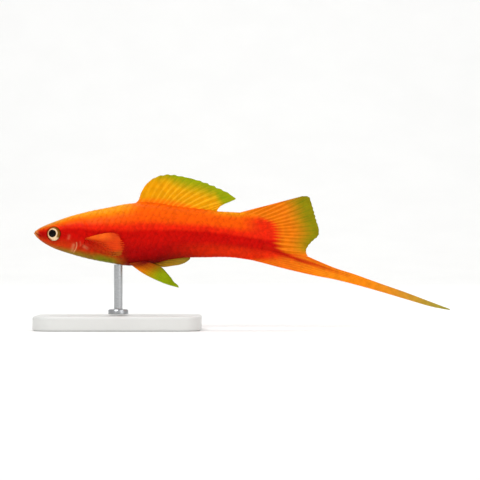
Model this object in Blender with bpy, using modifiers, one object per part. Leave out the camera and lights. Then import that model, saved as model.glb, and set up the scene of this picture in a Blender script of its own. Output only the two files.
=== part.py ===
"""A life-size male red swordtail, Xiphophorus hellerii, held on a plain display stand.

The shape is worked out in millimetres in the fish's own frame: x runs back from the snout tip, y is the
fish's right, and z is the height over the body axis, a level line through the snout tip. The fish looks
along -X in the world, whose origin is on the floor under the middle of the whole length.
"""

import math

import bmesh
import bpy
import numpy as np
from mathutils import Matrix, Vector

MM = 0.001
GAP = 0.3  # between pieces that touch

# Whole fish
LENGTH = 115.0  # snout tip to sword tip
AXIS_HEIGHT = 26.7  # body axis over the floor, which leaves 5.5 mm under the sword tip

# Body sections: distance from the snout, height of the back over the axis, depth of the belly under it,
# half width, level of the widest point from belly (0) to back (1), fullness above it, fullness below it
SECTIONS = (
    (0.00, 0.00, 0.00, 0.05, 0.50, 2.2, 2.1),
    (0.97, 1.10, 1.45, 1.25, 0.50, 2.5, 2.1),
    (2.65, 2.00, 2.75, 1.95, 0.52, 2.7, 2.1),
    (5.40, 3.10, 4.20, 2.75, 0.52, 2.7, 2.1),
    (9.80, 4.65, 5.70, 3.70, 0.50, 2.5, 2.1),
    (15.40, 6.10, 7.20, 4.45, 0.50, 2.3, 2.1),
    (20.90, 7.20, 8.25, 4.75, 0.51, 2.2, 2.1),
    (26.40, 8.20, 9.00, 4.65, 0.52, 2.1, 2.0),
    (33.40, 8.15, 8.10, 4.05, 0.52, 2.1, 2.0),
    (40.30, 7.05, 6.90, 3.40, 0.51, 2.1, 2.0),
    (47.20, 6.25, 6.70, 2.75, 0.50, 2.1, 2.0),
    (55.50, 5.80, 6.80, 1.85, 0.49, 2.1, 2.0),
    (60.00, 5.55, 7.45, 1.30, 0.49, 2.1, 2.0),
    (64.50, 5.30, 8.00, 0.80, 0.49, 2.1, 2.0),
)

# Curved parting lines: distance from the snout at the back, at mid height and at the belly
GILL_EDGE = (12.3, 14.5, 9.3)
TRUNK_END = (50.6, 50.6, 50.6)
TAIL_END = (57.7, 63.4, 59.6)
GILL_FLARE = 0.28  # how far the gill cover's edge stands proud of the flank
GILL_FLARE_SPAN = (0.72, 0.98)  # where it rises, as shares of the way from the snout to the gill edge
CHEEK_LINE = 0.66  # the cheek's rear edge, in the same shares
CHEEK_GROOVE = 0.2
CHEEK_GROOVE_WIDTH = 0.032  # half of it, in the same shares

# Head
EYE_AT = (5.45, -0.22)
EYE_RADIUS = 1.9
EYE_HALF_DEPTH = 1.05
EYE_STANDS_OUT = 0.5
ORBIT_RIM = 0.22
ORBIT_RIM_WIDTH = 0.35
MOUTH_FRONT = (0.0, 0.35)
MOUTH_CORNER = (1.75, -0.95)
MOUTH_SLIT = 0.32
LIP_RADIUS = 0.30
LIP_SUNK = 0.1  # how deep the middle of a lip lies under the skin
LIP_TAPER = 0.5
LIP_POINTS = 8  # from the front to a corner
NOSTRIL_AT = (2.75, 1.05)
NOSTRIL_RADIUS = 0.17
NOSTRIL_RIM = 0.11
NOSTRIL_DEPTH = 0.45

# Fins: outlines in the side view, as (x, z) points, and their counts of rays
RAY_RISE = 0.17  # a ray's height over the membrane, on each face
RAY_FOOT = 0.24  # half the width of a ray's foot, in spaces between rays
RAY_START = 0.12  # share of a fin's height over which its rays rise out of the root
FANNED = 4  # how soon the inner rays run straight, where a fin's front or rear edge curves
DORSAL_RAYS = 13
DORSAL_BASE = (28.9, 50.0)
DORSAL_FRONT = ((28.9, 8.7), (29.6, 11.1), (30.9, 13.5), (32.4, 14.9))
DORSAL_MARGIN = (
    (32.4, 14.9), (34.3, 15.8), (36.6, 16.1), (40.3, 15.8), (45.8, 14.3), (51.3, 12.0), (54.1, 10.7),
    (56.0, 9.2),
)
DORSAL_REAR = ((50.0, 6.4), (50.9, 7.6), (53.0, 8.5), (56.0, 9.2))

FAN_RAYS = 17
FAN_TOP = ((57.9, 6.05), (66.0, 8.1), (74.1, 10.25))
FAN_MARGIN = (
    (74.1, 10.25), (75.1, 10.27), (75.9, 10.1), (76.4, 9.2), (77.15, 6.75), (78.05, 3.4), (78.75, 0.9),
    (78.6, -0.6), (77.0, -2.2), (75.7, -3.7), (75.25, -4.9), (75.5, -6.1),
)
FAN_LOW = ((63.75, -4.3), (69.6, -5.35), (75.5, -6.1))

SWORD_RAYS = 6
SWORD_UPPER = (
    (63.65, -4.7), (69.6, -5.8), (75.7, -6.6), (77.6, -7.35), (79.6, -8.2), (82.6, -9.4), (88.7, -11.4),
    (94.8, -13.6), (102.8, -16.4), (111.0, -19.5), (115.0, -21.0),
)
SWORD_LOWER = (
    (59.9, -7.42), (62.2, -8.0), (67.5, -9.4), (72.8, -10.7), (77.7, -11.8), (82.5, -12.7), (88.6, -14.2),
    (94.7, -15.9), (102.8, -18.3), (111.0, -20.6), (114.9, -21.3),
)

PECTORAL_RAYS = 11
PECTORAL_UPPER = ((14.85, -1.4), (17.8, -0.5), (21.2, 0.1), (22.6, -0.1))
PECTORAL_MARGIN = ((22.6, -0.1), (24.0, -1.2), (24.7, -2.8), (24.8, -4.6), (24.0, -6.2))
PECTORAL_LOWER = ((14.95, -3.0), (18.1, -4.9), (21.3, -6.2), (24.0, -6.2))
PECTORAL_SPLAY = 0.22  # sideways for each millimetre back
PECTORAL_CUP = 0.25  # how far its middle bulges outwards
PECTORAL_SEAT = 0.45  # half its thickness at the root

PELVIC_RAYS = 6
PELVIC_BASE = (26.5, 30.4)
PELVIC_OFFSET = 1.75  # from the midline
PELVIC_FRONT = ((26.5, -8.9), (30.2, -11.1), (32.8, -12.5), (36.5, -14.0), (40.1, -15.1))
PELVIC_MARGIN = ((40.1, -15.1), (38.9, -13.9), (37.8, -12.4))
PELVIC_REAR = ((30.4, -8.4), (33.4, -9.0), (35.7, -10.2), (37.8, -12.4))
PELVIC_SPLAY = 0.18  # sideways for each millimetre down

GONOPODIUM_RAYS = 5
GONOPODIUM_BASE = (31.9, 35.2)
GONOPODIUM_LOWER = ((31.9, -8.7), (35.0, -9.4), (38.3, -9.05), (40.6, -8.65), (42.1, -8.0), (43.2, -7.3))
GONOPODIUM_UPPER = ((35.2, -8.1), (38.0, -7.6), (40.6, -7.25), (43.2, -7.1))

# Stand
BASE_SIZE = (46.0, 30.0, 4.0)
BASE_CORNER = 6.0
BASE_BEVEL = 0.7
ROD_X = 23.2  # under the middle of the fish's weight, ahead of the pelvic fins
ROD_RADIUS = 1.2
COLLAR_RADIUS = 2.8
COLLAR_HEIGHT = 1.4
COLLAR_CHAMFER = 0.4
ROD_CUP = 0.8  # height of the stretch at the rod's top that is cut to the belly

# How finely the solids are divided
AROUND_HEAD = 24  # steps from back to belly
AROUND_BODY = 20
HEAD_RINGS = 33
TRUNK_RINGS = 24
TAIL_RINGS = 10
EYE_SEGMENTS = 20
SOCKET_SEGMENTS = 28


def between(x, xs, values):
    """A smooth curve through the values at xs, read at x."""
    xs = np.asarray(xs, float)
    values = np.asarray(values, float)
    slopes = np.gradient(values, xs)
    i = np.clip(np.searchsorted(xs, x, side="right") - 1, 0, len(xs) - 2)
    step = xs[i + 1] - xs[i]
    s = (x - xs[i]) / step
    start = (2 * s**3 - 3 * s**2 + 1) * values[i] + (s**3 - 2 * s**2 + s) * step * slopes[i]
    return start + (3 * s**2 - 2 * s**3) * values[i + 1] + (s**3 - s**2) * step * slopes[i + 1]


def section(x):
    """Back, belly, half width, widest level and both fullnesses at x. Its knots are spaced by the square
    root of the distance, which rounds off the snout."""
    columns = np.array(SECTIONS).T
    knots = np.sqrt(columns[0])
    root = np.sqrt(np.maximum(x, 0.0))
    back, belly, half, level, upper, lower = (between(root, knots, column) for column in columns[1:])
    return back, belly, half, level * (back + belly) - belly, upper, lower


def body_point(x, t):
    """The body's surface at x, at angle t from the back (0) over the flank to the belly (pi)."""
    back, belly, half, level, upper, lower = section(x)
    c, s = np.cos(t), np.sin(t)
    power = 2 / np.where(c >= 0, upper, lower)
    rise = np.where(c >= 0, back - level, belly + level)
    return half * np.abs(s) ** power, level + rise * np.sign(c) * np.abs(c) ** power


def flank(x, z):
    """Half width of the body at x and z."""
    back, belly, half, level, upper, lower = section(x)
    above = z >= level
    reach = np.maximum(np.where(above, back - level, belly + level), 0.001)
    power = np.where(above, upper, lower)
    part = np.clip(np.abs(z - level) / reach, 0, 1)
    return half * (1 - part**power) ** (1 / power)


def underside(x, y):
    """Height of the belly's surface at x and y."""
    _, belly, half, level, _, lower = section(x)
    return level - (belly + level) * (1 - np.minimum(abs(y) / half, 1) ** lower) ** (1 / lower)


def parting(line, t):
    """Where a curved parting line lies at angle t."""
    back, middle, belly = line
    end = np.where(np.cos(t) >= 0, back, belly)
    return middle + (end - middle) * np.cos(t) ** 2


def head_relief(x, z, share, t):
    """How far the head's surface stands out sideways: gill cover, cheek line and orbit rim."""
    flare = np.clip((share - GILL_FLARE_SPAN[0]) / (GILL_FLARE_SPAN[1] - GILL_FLARE_SPAN[0]), 0, 1)
    out = GILL_FLARE * flare**2 * (3 - 2 * flare) * np.sin(t) ** 2
    out = out - CHEEK_GROOVE * np.exp(-(((share - CHEEK_LINE) / CHEEK_GROOVE_WIDTH) ** 2)) * np.sin(t) ** 4
    from_rim = np.hypot(x - EYE_AT[0], z - EYE_AT[1]) - EYE_RADIUS - ORBIT_RIM_WIDTH
    return out + ORBIT_RIM * np.exp(-((from_rim / ORBIT_RIM_WIDTH) ** 2)) * np.sin(t) ** 2


def to_world(x, y, z):
    return Vector(((x - LENGTH / 2) * MM, y * MM, (z + AXIS_HEIGHT) * MM))


def material(name, colour, roughness=0.4, metallic=0.0):
    made = bpy.data.materials.new(name)
    made.use_nodes = True
    shader = made.node_tree.nodes["Principled BSDF"]
    shader.inputs["Base Color"].default_value = (*colour, 1.0)
    shader.inputs["Roughness"].default_value = roughness
    shader.inputs["Metallic"].default_value = metallic
    made.diffuse_color = (*colour, 1.0)
    return made


def add_object(name, mesh, collection):
    made = bpy.data.objects.new(name, mesh)
    collection.objects.link(made)
    return made


def mesh_from(name, bm):
    bmesh.ops.recalc_face_normals(bm, faces=bm.faces)
    mesh = bpy.data.meshes.new(name)
    bm.to_mesh(mesh)
    bm.free()
    return mesh


def bake(obj):
    """Makes the modifiers' result the object's own mesh, and keeps its largest closed surface."""
    bpy.context.view_layer.update()
    graph = bpy.context.evaluated_depsgraph_get()
    mesh = bpy.data.meshes.new_from_object(obj.evaluated_get(graph))
    obj.modifiers.clear()
    obj.data = mesh
    bm = bmesh.new()
    bm.from_mesh(mesh)
    bm.verts.ensure_lookup_table()
    unseen = set(bm.verts)
    largest = []
    while unseen:
        shell = [unseen.pop()]
        for vert in shell:
            near = {edge.other_vert(vert) for edge in vert.link_edges} & unseen
            unseen -= near
            shell.extend(near)
        if len(shell) > len(largest):
            largest = shell
    loose = set(bm.verts) - set(largest)
    bmesh.ops.delete(bm, geom=list(loose), context="VERTS")
    bm.to_mesh(mesh)
    bm.free()


def loft(name, start, end, rings, around, spacing=1.0, relief=None):
    """One length of the body between two parting lines, closed at both ends by ruled caps. start and end
    give x at angle t, and spacing over 1 sets the rings closer at the start."""
    angles = np.linspace(0, math.pi, around + 1)
    bm = bmesh.new()
    rows = []
    for ring in range(rings + 1):
        share = (ring / rings) ** spacing
        x = start(angles) + (end(angles) - start(angles)) * share
        y, z = body_point(x, angles)
        y = y + (relief(x, z, share, angles) if relief else 0)
        y[0] = y[-1] = 0
        right = [bm.verts.new(to_world(*p)) for p in zip(x, y, z)]
        left = [bm.verts.new(to_world(*p)) for p in zip(x[1:-1], -y[1:-1], z[1:-1])]
        rows.append(right + left[::-1])
    for row, following in zip(rows, rows[1:]):
        for j in range(len(row)):
            k = (j + 1) % len(row)
            bm.faces.new((row[j], row[k], following[k], following[j]))
    for row in (rows[0], rows[-1]):
        for j in range(around):
            far = row[-j - 1] if j < around - 1 else row[around]
            bm.faces.new(dict.fromkeys((row[j], row[j + 1], far, row[-j])))
    bmesh.ops.remove_doubles(bm, verts=bm.verts, dist=0.001 * MM)
    return mesh_from(name, bm)


def through(points):
    """A smooth curve through the points, as a function of the share of its length."""
    points = np.array(points, float)
    along = np.concatenate([[0], np.cumsum(np.hypot(*np.diff(points, axis=0).T))])
    along = along / along[-1]
    return lambda u: np.array([between(u, along, points[:, 0]), between(u, along, points[:, 1])])


def patch(front, rear, root, margin, u, v, fanned):
    """A surface spread between four edges, read at u from front to rear and v from root to margin. The
    higher fanned is, the less of the front and rear edges' bend its inner lines take up."""
    sheet = (1 - v) * root(u) + v * margin(u)
    for edge, share in ((front, (1 - u) ** fanned), (rear, u**fanned)):
        sheet = sheet + share * (edge(v) - (1 - v) * edge(0.0) - v * edge(1.0))
    return sheet


def ray_columns(rays):
    """Where a fin's columns of points stand across it, with True on the crest of each ray and False at its
    two feet."""
    columns = []
    for ray in range(rays):
        for foot in (-RAY_FOOT, 0, RAY_FOOT):
            if 0 <= ray + foot <= rays - 1:
                columns.append(((ray + foot) / (rays - 1), foot == 0))
    return columns


def fin(name, collection, edges, rays, rows, thickness, side=None, notch=0.0, fade=0.4, fanned=1):
    """A fin as a sheet with a narrow ridge along each ray, thickened evenly to both faces. thickness gives
    the membrane's thickness at v, side the sheet's y at x, z, u and v, notch how far the membrane's margin
    falls short of the rays, and fade how much of a ridge's height is gone at the margin."""
    bm = bmesh.new()
    grid = []
    depths = []
    for u, crest in ray_columns(rays):
        line = []
        for row in range(rows):
            v = row / (rows - 1) * (1 if crest else 1 - notch)
            x, z = patch(*edges, u, v, fanned)
            y = side(x, z, u, v) if side else 0.0
            line.append(bm.verts.new(to_world(x, y, z)))
            rise = RAY_RISE * min(1, v / RAY_START) * (1 - fade * v) if crest else 0
            depths.append(float(thickness(v)) + 2 * rise)
        grid.append(line)
    for line, following in zip(grid, grid[1:]):
        for row in range(rows - 1):
            a, b, c, d = line[row], following[row], following[row + 1], line[row + 1]
            bm.faces.new((a, b, c))
            bm.faces.new((a, c, d))
    obj = add_object(name, mesh_from(name, bm), collection)
    group = obj.vertex_groups.new(name="thickness")
    for index, depth in enumerate(depths):
        group.add([index], depth / max(depths), "REPLACE")
    solidify = obj.modifiers.new("Thickness", "SOLIDIFY")
    solidify.thickness = max(depths) * MM
    solidify.offset = 0.0
    solidify.use_even_offset = False
    solidify.vertex_group = group.name
    return obj


def curve_mesh(name, points, radii, bevel, collection):
    """A round tube through the points, as a closed mesh."""
    data = bpy.data.curves.new(name, "CURVE")
    data.dimensions = "3D"
    data.bevel_depth = bevel * MM
    data.bevel_resolution = 2
    data.use_fill_caps = True
    spline = data.splines.new("POLY")
    spline.points.add(len(points) - 1)
    for point, place, radius in zip(spline.points, points, radii):
        point.co = (*place, 1.0)
        point.radius = radius
    guide = add_object(name + "_curve", data, collection)
    bpy.context.view_layer.update()
    graph = bpy.context.evaluated_depsgraph_get()
    mesh = bpy.data.meshes.new_from_object(guide.evaluated_get(graph))
    bpy.data.objects.remove(guide)
    bm = bmesh.new()
    bm.from_mesh(mesh)
    bmesh.ops.remove_doubles(bm, verts=bm.verts, dist=0.001 * MM)
    bmesh.ops.recalc_face_normals(bm, faces=bm.faces)
    bm.to_mesh(mesh)
    bm.free()
    return add_object(name, mesh, collection)


def mouth_line(offset, count):
    """Points round the snout from the left corner of the mouth to the right one, offset square to the
    mouth's line, and each point's share of the way from the front (0) to the corner (1)."""
    front, corner = Vector(MOUTH_FRONT), Vector(MOUTH_CORNER)
    across = Vector((front.y - corner.y, corner.x - front.x)).normalized() * offset
    way = np.linspace(0, 1, 400) ** 2
    x = front.x + across.x + (corner.x - front.x) * way
    z = front.y + across.y + (corner.y - front.y) * way
    y = flank(x, z)
    first = max(int(np.argmax(y > 0)) - 1, 0)
    line = np.array((x, y, z))[:, first:]
    along = np.concatenate([[0], np.cumsum(np.linalg.norm(np.diff(line, axis=1), axis=0))])
    shares = np.linspace(0, 1, count)
    right = np.array([np.interp(shares * along[-1], along, values) for values in line]).T
    inward = np.array((corner.x + LIP_RADIUS, 0)) - right[:, :2]
    right[:, :2] += LIP_SUNK * inward / np.linalg.norm(inward, axis=1)[:, None]
    right[0, 1] = 0
    left = right[:0:-1] * (1, -1, 1)
    return np.vstack((left, right)), np.concatenate((shares[:0:-1], shares))


def lip(name, offset, collection):
    """A lip: a roll round the front of the snout, tapered to the corners of the mouth."""
    line, shares = mouth_line(offset, LIP_POINTS)
    points = [to_world(*place) for place in line]
    return curve_mesh(name, points, 1 - LIP_TAPER * shares**2, LIP_RADIUS, collection)


def ball(name, radii, place, out, collection, segments):
    """An ellipsoid whose y axis points out."""
    bm = bmesh.new()
    bmesh.ops.create_uvsphere(bm, u_segments=segments, v_segments=segments // 2, radius=1.0)
    bmesh.ops.rotate(bm, verts=bm.verts, matrix=Matrix.Rotation(math.pi / 2, 3, "X"))
    bmesh.ops.scale(bm, verts=bm.verts, vec=Vector(radii) * MM)
    bmesh.ops.rotate(bm, verts=bm.verts, matrix=out.to_track_quat("Y", "Z").to_matrix())
    bmesh.ops.translate(bm, verts=bm.verts, vec=place)
    return add_object(name, mesh_from(name, bm), collection)


def nostril_rim(name, place, out, collection):
    bpy.ops.mesh.primitive_torus_add(
        major_segments=12,
        minor_segments=6,
        major_radius=(NOSTRIL_RADIUS + NOSTRIL_RIM) * MM,
        minor_radius=NOSTRIL_RIM * MM,
    )
    rim = bpy.context.object
    rim.name = name
    rim.data.transform(Matrix.Translation(place) @ out.to_track_quat("Z", "Y").to_matrix().to_4x4())
    for other in rim.users_collection:
        other.objects.unlink(rim)
    collection.objects.link(rim)
    return rim


def nostril_pit(name, place, out, collection):
    bm = bmesh.new()
    radius = NOSTRIL_RADIUS * MM
    depth = 2 * NOSTRIL_DEPTH * MM
    bmesh.ops.create_cone(bm, cap_ends=True, segments=10, radius1=radius, radius2=radius, depth=depth)
    bm.transform(Matrix.Translation(place) @ out.to_track_quat("Z", "Y").to_matrix().to_4x4())
    return add_object(name, mesh_from(name, bm), collection)


def mouth_cutter(collection):
    """A thin slab from ahead of the snout tip back to the corner of the mouth."""
    front = Vector(MOUTH_FRONT)
    corner = Vector(MOUTH_CORNER)
    along = corner - front
    reach = along.length + 1.2
    middle = corner - along.normalized() * reach / 2
    bm = bmesh.new()
    bmesh.ops.create_cube(bm, size=1.0)
    bmesh.ops.scale(bm, verts=bm.verts, vec=Vector((reach, 8.0, MOUTH_SLIT)) * MM)
    bmesh.ops.rotate(bm, verts=bm.verts, matrix=Matrix.Rotation(math.atan2(-along.y, along.x), 3, "Y"))
    bmesh.ops.translate(bm, verts=bm.verts, vec=to_world(middle.x, 0, middle.y))
    return add_object("mouth_cutter", mesh_from("mouth_cutter", bm), collection)


def boolean(obj, operation, collection):
    modifier = obj.modifiers.new(operation.title(), "BOOLEAN")
    modifier.operation = operation
    modifier.operand_type = "COLLECTION"
    modifier.collection = collection
    modifier.solver = "EXACT"


def side_spot(x, z, side, inset=0.0):
    """A point of the flank and the way out from it."""
    reach = 0.05
    y = float(flank(x, z))
    out = Vector((
        (float(flank(x - reach, z)) - float(flank(x + reach, z))) / (2 * reach),
        side,
        (float(flank(x, z - reach)) - float(flank(x, z + reach))) / (2 * reach),
    )).normalized()
    return to_world(x, side * y, z) - out * inset * MM, out


def eye_ball(name, side, margin, segments, collection):
    """The eyeball, or its socket where margin is over 0, turned to face square out of the head."""
    place, out = side_spot(*EYE_AT, side, EYE_HALF_DEPTH - EYE_STANDS_OUT)
    radii = Vector((EYE_RADIUS + margin, EYE_HALF_DEPTH + margin, EYE_RADIUS + margin))
    return ball(name, radii, place, out, collection, segments)


def make_head(collection, additions, cutters):
    gill_edge = lambda t: parting(GILL_EDGE, t)
    snout = lambda t: np.zeros_like(t)
    mesh = loft("head", snout, gill_edge, HEAD_RINGS, AROUND_HEAD, 1.45, head_relief)
    head = add_object("head", mesh, collection)
    lip("upper_lip", LIP_RADIUS * 0.95, additions)
    lip("lower_lip", -LIP_RADIUS * 0.95, additions)
    mouth_cutter(cutters)
    for side, word in ((-1, "left"), (1, "right")):
        place, out = side_spot(*NOSTRIL_AT, side, 0.02)
        nostril_rim("nostril_rim_" + word, place, out, additions)
        nostril_pit("nostril_pit_" + word, place, out, cutters)
        eye_ball("socket_" + word, side, GAP, SOCKET_SEGMENTS, cutters)
    boolean(head, "UNION", additions)
    boolean(head, "DIFFERENCE", cutters)
    bake(head)
    for obj in list(additions.objects):
        bpy.data.objects.remove(obj)
    for obj in list(cutters.objects):
        bpy.data.objects.remove(obj)
    return head


def make_trunk(collection):
    start = lambda t: parting(GILL_EDGE, t) + GAP
    end = lambda t: parting(TRUNK_END, t)
    return add_object("torso", loft("torso", start, end, TRUNK_RINGS, AROUND_BODY), collection)


def make_tail(collection):
    start = lambda t: parting(TRUNK_END, t) + GAP
    end = lambda t: parting(TAIL_END, t)
    return add_object("tail", loft("tail", start, end, TAIL_RINGS, AROUND_BODY), collection)


def tail_edge(first, last):
    """The stretch of the tail's rear edge between two heights, with the gap, as a curve for a fin's root."""
    angles = np.linspace(0, math.pi, 181)
    x = parting(TAIL_END, angles)
    z = body_point(x, angles)[1]

    def root(u):
        height = first + (last - first) * u
        return np.array([np.interp(-height, -z, x) + GAP, height])

    return root


def make_dorsal(collection):
    def root(u):
        x = DORSAL_BASE[0] + (DORSAL_BASE[1] - DORSAL_BASE[0]) * u
        return np.array([x, float(section(x)[0]) + GAP])

    edges = (through(DORSAL_FRONT), through(DORSAL_REAR), root, through(DORSAL_MARGIN))
    edges = fit_corners(edges)
    thickness = lambda v: 0.5 + 0.5 * (1 - v) ** 2
    return fin("dorsal_fin", collection, edges, DORSAL_RAYS, 10, thickness, notch=0.025, fanned=FANNED)


def fit_corners(edges):
    """Bends the front and rear edges so that they start exactly at the ends of the root."""
    front, rear, root, margin = edges
    front_shift = root(0.0) - front(0.0)
    rear_shift = root(1.0) - rear(0.0)
    return (
        lambda v: front(v) + front_shift * (1 - v) ** 2,
        lambda v: rear(v) + rear_shift * (1 - v) ** 2,
        root,
        margin,
    )


def make_caudal(collection):
    root = tail_edge(FAN_TOP[0][1], FAN_LOW[0][1])
    edges = fit_corners((through(FAN_TOP), through(FAN_LOW), root, through(FAN_MARGIN)))
    thickness = lambda v: 0.5 + 0.9 * (1 - v) ** 5
    return fin("caudal_fin", collection, edges, FAN_RAYS, 10, thickness, notch=0.01, fanned=FANNED)


def make_sword(collection):
    root = tail_edge(SWORD_UPPER[0][1], SWORD_LOWER[0][1])
    tip = through((SWORD_UPPER[-1], SWORD_LOWER[-1]))
    edges = fit_corners((through(SWORD_UPPER), through(SWORD_LOWER), root, tip))
    thickness = lambda v: 0.5 + 0.8 * (1 - v) ** 1.5
    return fin("sword", collection, edges, SWORD_RAYS, 21, thickness, fade=0.95)


def make_pectoral(word, side, collection):
    root_x = PECTORAL_UPPER[0][0]
    root_height = (PECTORAL_UPPER[0][1] + PECTORAL_LOWER[0][1]) / 2
    start = float(flank(root_x, root_height)) + GAP + PECTORAL_SEAT

    def y_of(x, z, u, v):
        away = max(x - root_x, 0)
        return side * (start + PECTORAL_SPLAY * away + PECTORAL_CUP * math.sin(math.pi * u) * v)

    root = through((PECTORAL_UPPER[0], PECTORAL_LOWER[0]))
    edges = (through(PECTORAL_UPPER), through(PECTORAL_LOWER), root, through(PECTORAL_MARGIN))
    thickness = lambda v: 0.5 + 0.35 * (1 - v) ** 3
    name = "pectoral_fin_" + word
    return fin(name, collection, edges, PECTORAL_RAYS, 8, thickness, y_of, 0.02, fanned=FANNED)


def make_pelvic(word, side, collection):
    def root(u):
        x = PELVIC_BASE[0] + (PELVIC_BASE[1] - PELVIC_BASE[0]) * u
        return np.array([x, float(underside(x, PELVIC_OFFSET)) - GAP])

    def y_of(x, z, u, v):
        return side * (PELVIC_OFFSET + PELVIC_SPLAY * max(root(0.0)[1] - z, 0))

    edges = fit_corners((through(PELVIC_FRONT), through(PELVIC_REAR), root, through(PELVIC_MARGIN)))
    thickness = lambda v: 0.5 + 0.4 * (1 - v) ** 2
    return fin("pelvic_fin_" + word, collection, edges, PELVIC_RAYS, 10, thickness, y_of, 0.015)


def make_gonopodium(collection):
    def root(u):
        x = GONOPODIUM_BASE[0] + (GONOPODIUM_BASE[1] - GONOPODIUM_BASE[0]) * u
        return np.array([x, float(underside(x, 0.0)) - GAP])

    tip = through((GONOPODIUM_LOWER[-1], GONOPODIUM_UPPER[-1]))
    edges = fit_corners((through(GONOPODIUM_LOWER), through(GONOPODIUM_UPPER), root, tip))
    thickness = lambda v: 0.6 + 0.5 * (1 - v)
    return fin("gonopodium", collection, edges, GONOPODIUM_RAYS, 11, thickness, fade=0.8)


def make_base(collection):
    bm = bmesh.new()
    bmesh.ops.create_cube(bm, size=1.0)
    bmesh.ops.scale(bm, verts=bm.verts, vec=Vector(BASE_SIZE) * MM)
    upright = [edge for edge in bm.edges if abs(edge.verts[0].co.z - edge.verts[1].co.z) > 0.5 * MM]
    bmesh.ops.bevel(bm, geom=upright, offset=BASE_CORNER * MM, segments=8, affect="EDGES", profile=0.5)
    centre = to_world(ROD_X, 0, 0)
    bmesh.ops.translate(bm, verts=bm.verts, vec=(centre.x, 0, BASE_SIZE[2] / 2 * MM))
    base = add_object("stand_base", mesh_from("stand_base", bm), collection)
    bevel = base.modifiers.new("Rounded edge", "BEVEL")
    bevel.width = BASE_BEVEL * MM
    bevel.segments = 2
    bevel.limit_method = "ANGLE"
    bevel.angle_limit = math.radians(60)
    return base


def make_rod(collection):
    """A rod turned in one piece with its collar. Its top follows the belly that it carries."""
    foot = BASE_SIZE[2] + GAP
    collar_top = foot + COLLAR_HEIGHT
    top = AXIS_HEIGHT + float(underside(ROD_X, 0.0)) - ROD_CUP
    profile = (
        (0.0, foot), (COLLAR_RADIUS, foot), (COLLAR_RADIUS, collar_top - COLLAR_CHAMFER),
        (COLLAR_RADIUS - COLLAR_CHAMFER, collar_top), (ROD_RADIUS, collar_top + COLLAR_CHAMFER / 2),
        (ROD_RADIUS, top - ROD_CUP), (ROD_RADIUS, top), (ROD_RADIUS / 2, top), (0.0, top),
    )
    bm = bmesh.new()
    line = [bm.verts.new(Vector((radius, 0, height)) * MM) for radius, height in profile]
    edges = [bm.edges.new(pair) for pair in zip(line, line[1:])]
    bmesh.ops.spin(
        bm, geom=line + edges, cent=(0, 0, 0), axis=(0, 0, 1), angle=math.tau, steps=20, use_merge=True
    )
    bmesh.ops.remove_doubles(bm, verts=bm.verts, dist=0.001 * MM)
    for vert in bm.verts:
        x, y, z = vert.co / MM
        if z > top - ROD_CUP / 2:
            vert.co.z = (AXIS_HEIGHT + float(underside(ROD_X + x, y)) - GAP) * MM
    centre = to_world(ROD_X, 0, 0)
    bmesh.ops.translate(bm, verts=bm.verts, vec=(centre.x, 0, 0))
    return add_object("stand_rod", mesh_from("stand_rod", bm), collection)


def finish(obj, surface, crease=40):
    obj.data.materials.clear()
    obj.data.materials.append(surface)
    obj.data.shade_smooth()
    obj.data.set_sharp_from_angle(angle=math.radians(crease))


def new_collection(name):
    made = bpy.data.collections.new(name)
    bpy.context.scene.collection.children.link(made)
    return made


def main():
    for obj in list(bpy.data.objects):
        bpy.data.objects.remove(obj)
    fish = new_collection("swordtail")
    additions = new_collection("head_additions")
    cutters = new_collection("head_cutters")

    flesh = material("flame red skin", (0.80, 0.06, 0.01), 0.35)
    orange = material("orange skin", (0.90, 0.16, 0.01), 0.35)
    membrane = material("golden fin", (0.85, 0.35, 0.02), 0.45)
    sword_skin = material("orange sword", (0.85, 0.22, 0.02), 0.4)
    iris = material("eye", (0.75, 0.70, 0.50), 0.12)
    white = material("satin white stand", (0.80, 0.80, 0.78), 0.45)
    steel = material("brushed steel rod", (0.60, 0.60, 0.60), 0.3, 1.0)

    finish(make_head(fish, additions, cutters), flesh)
    finish(make_trunk(fish), flesh)
    finish(make_tail(fish), orange)
    finish(make_dorsal(fish), membrane)
    finish(make_caudal(fish), membrane)
    finish(make_sword(fish), sword_skin)
    finish(make_gonopodium(fish), membrane)
    for side, word in ((-1, "left"), (1, "right")):
        finish(make_pectoral(word, side, fish), membrane)
        finish(make_pelvic(word, side, fish), membrane)
        finish(eye_ball("eye_" + word, side, 0.0, EYE_SEGMENTS, fish), iris)
    finish(make_base(fish), white)
    finish(make_rod(fish), steel)


main()
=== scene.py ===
"""The looks of a life-size male red swordtail on its display stand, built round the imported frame.

Inside the functions lengths are millimetres in the fish's own frame: x runs back from the snout tip, y is the
fish's right and z is the height over the body axis. Sizes in the panel are metres, as Blender keeps them, and
so are those of the stage.
"""

import math

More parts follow.
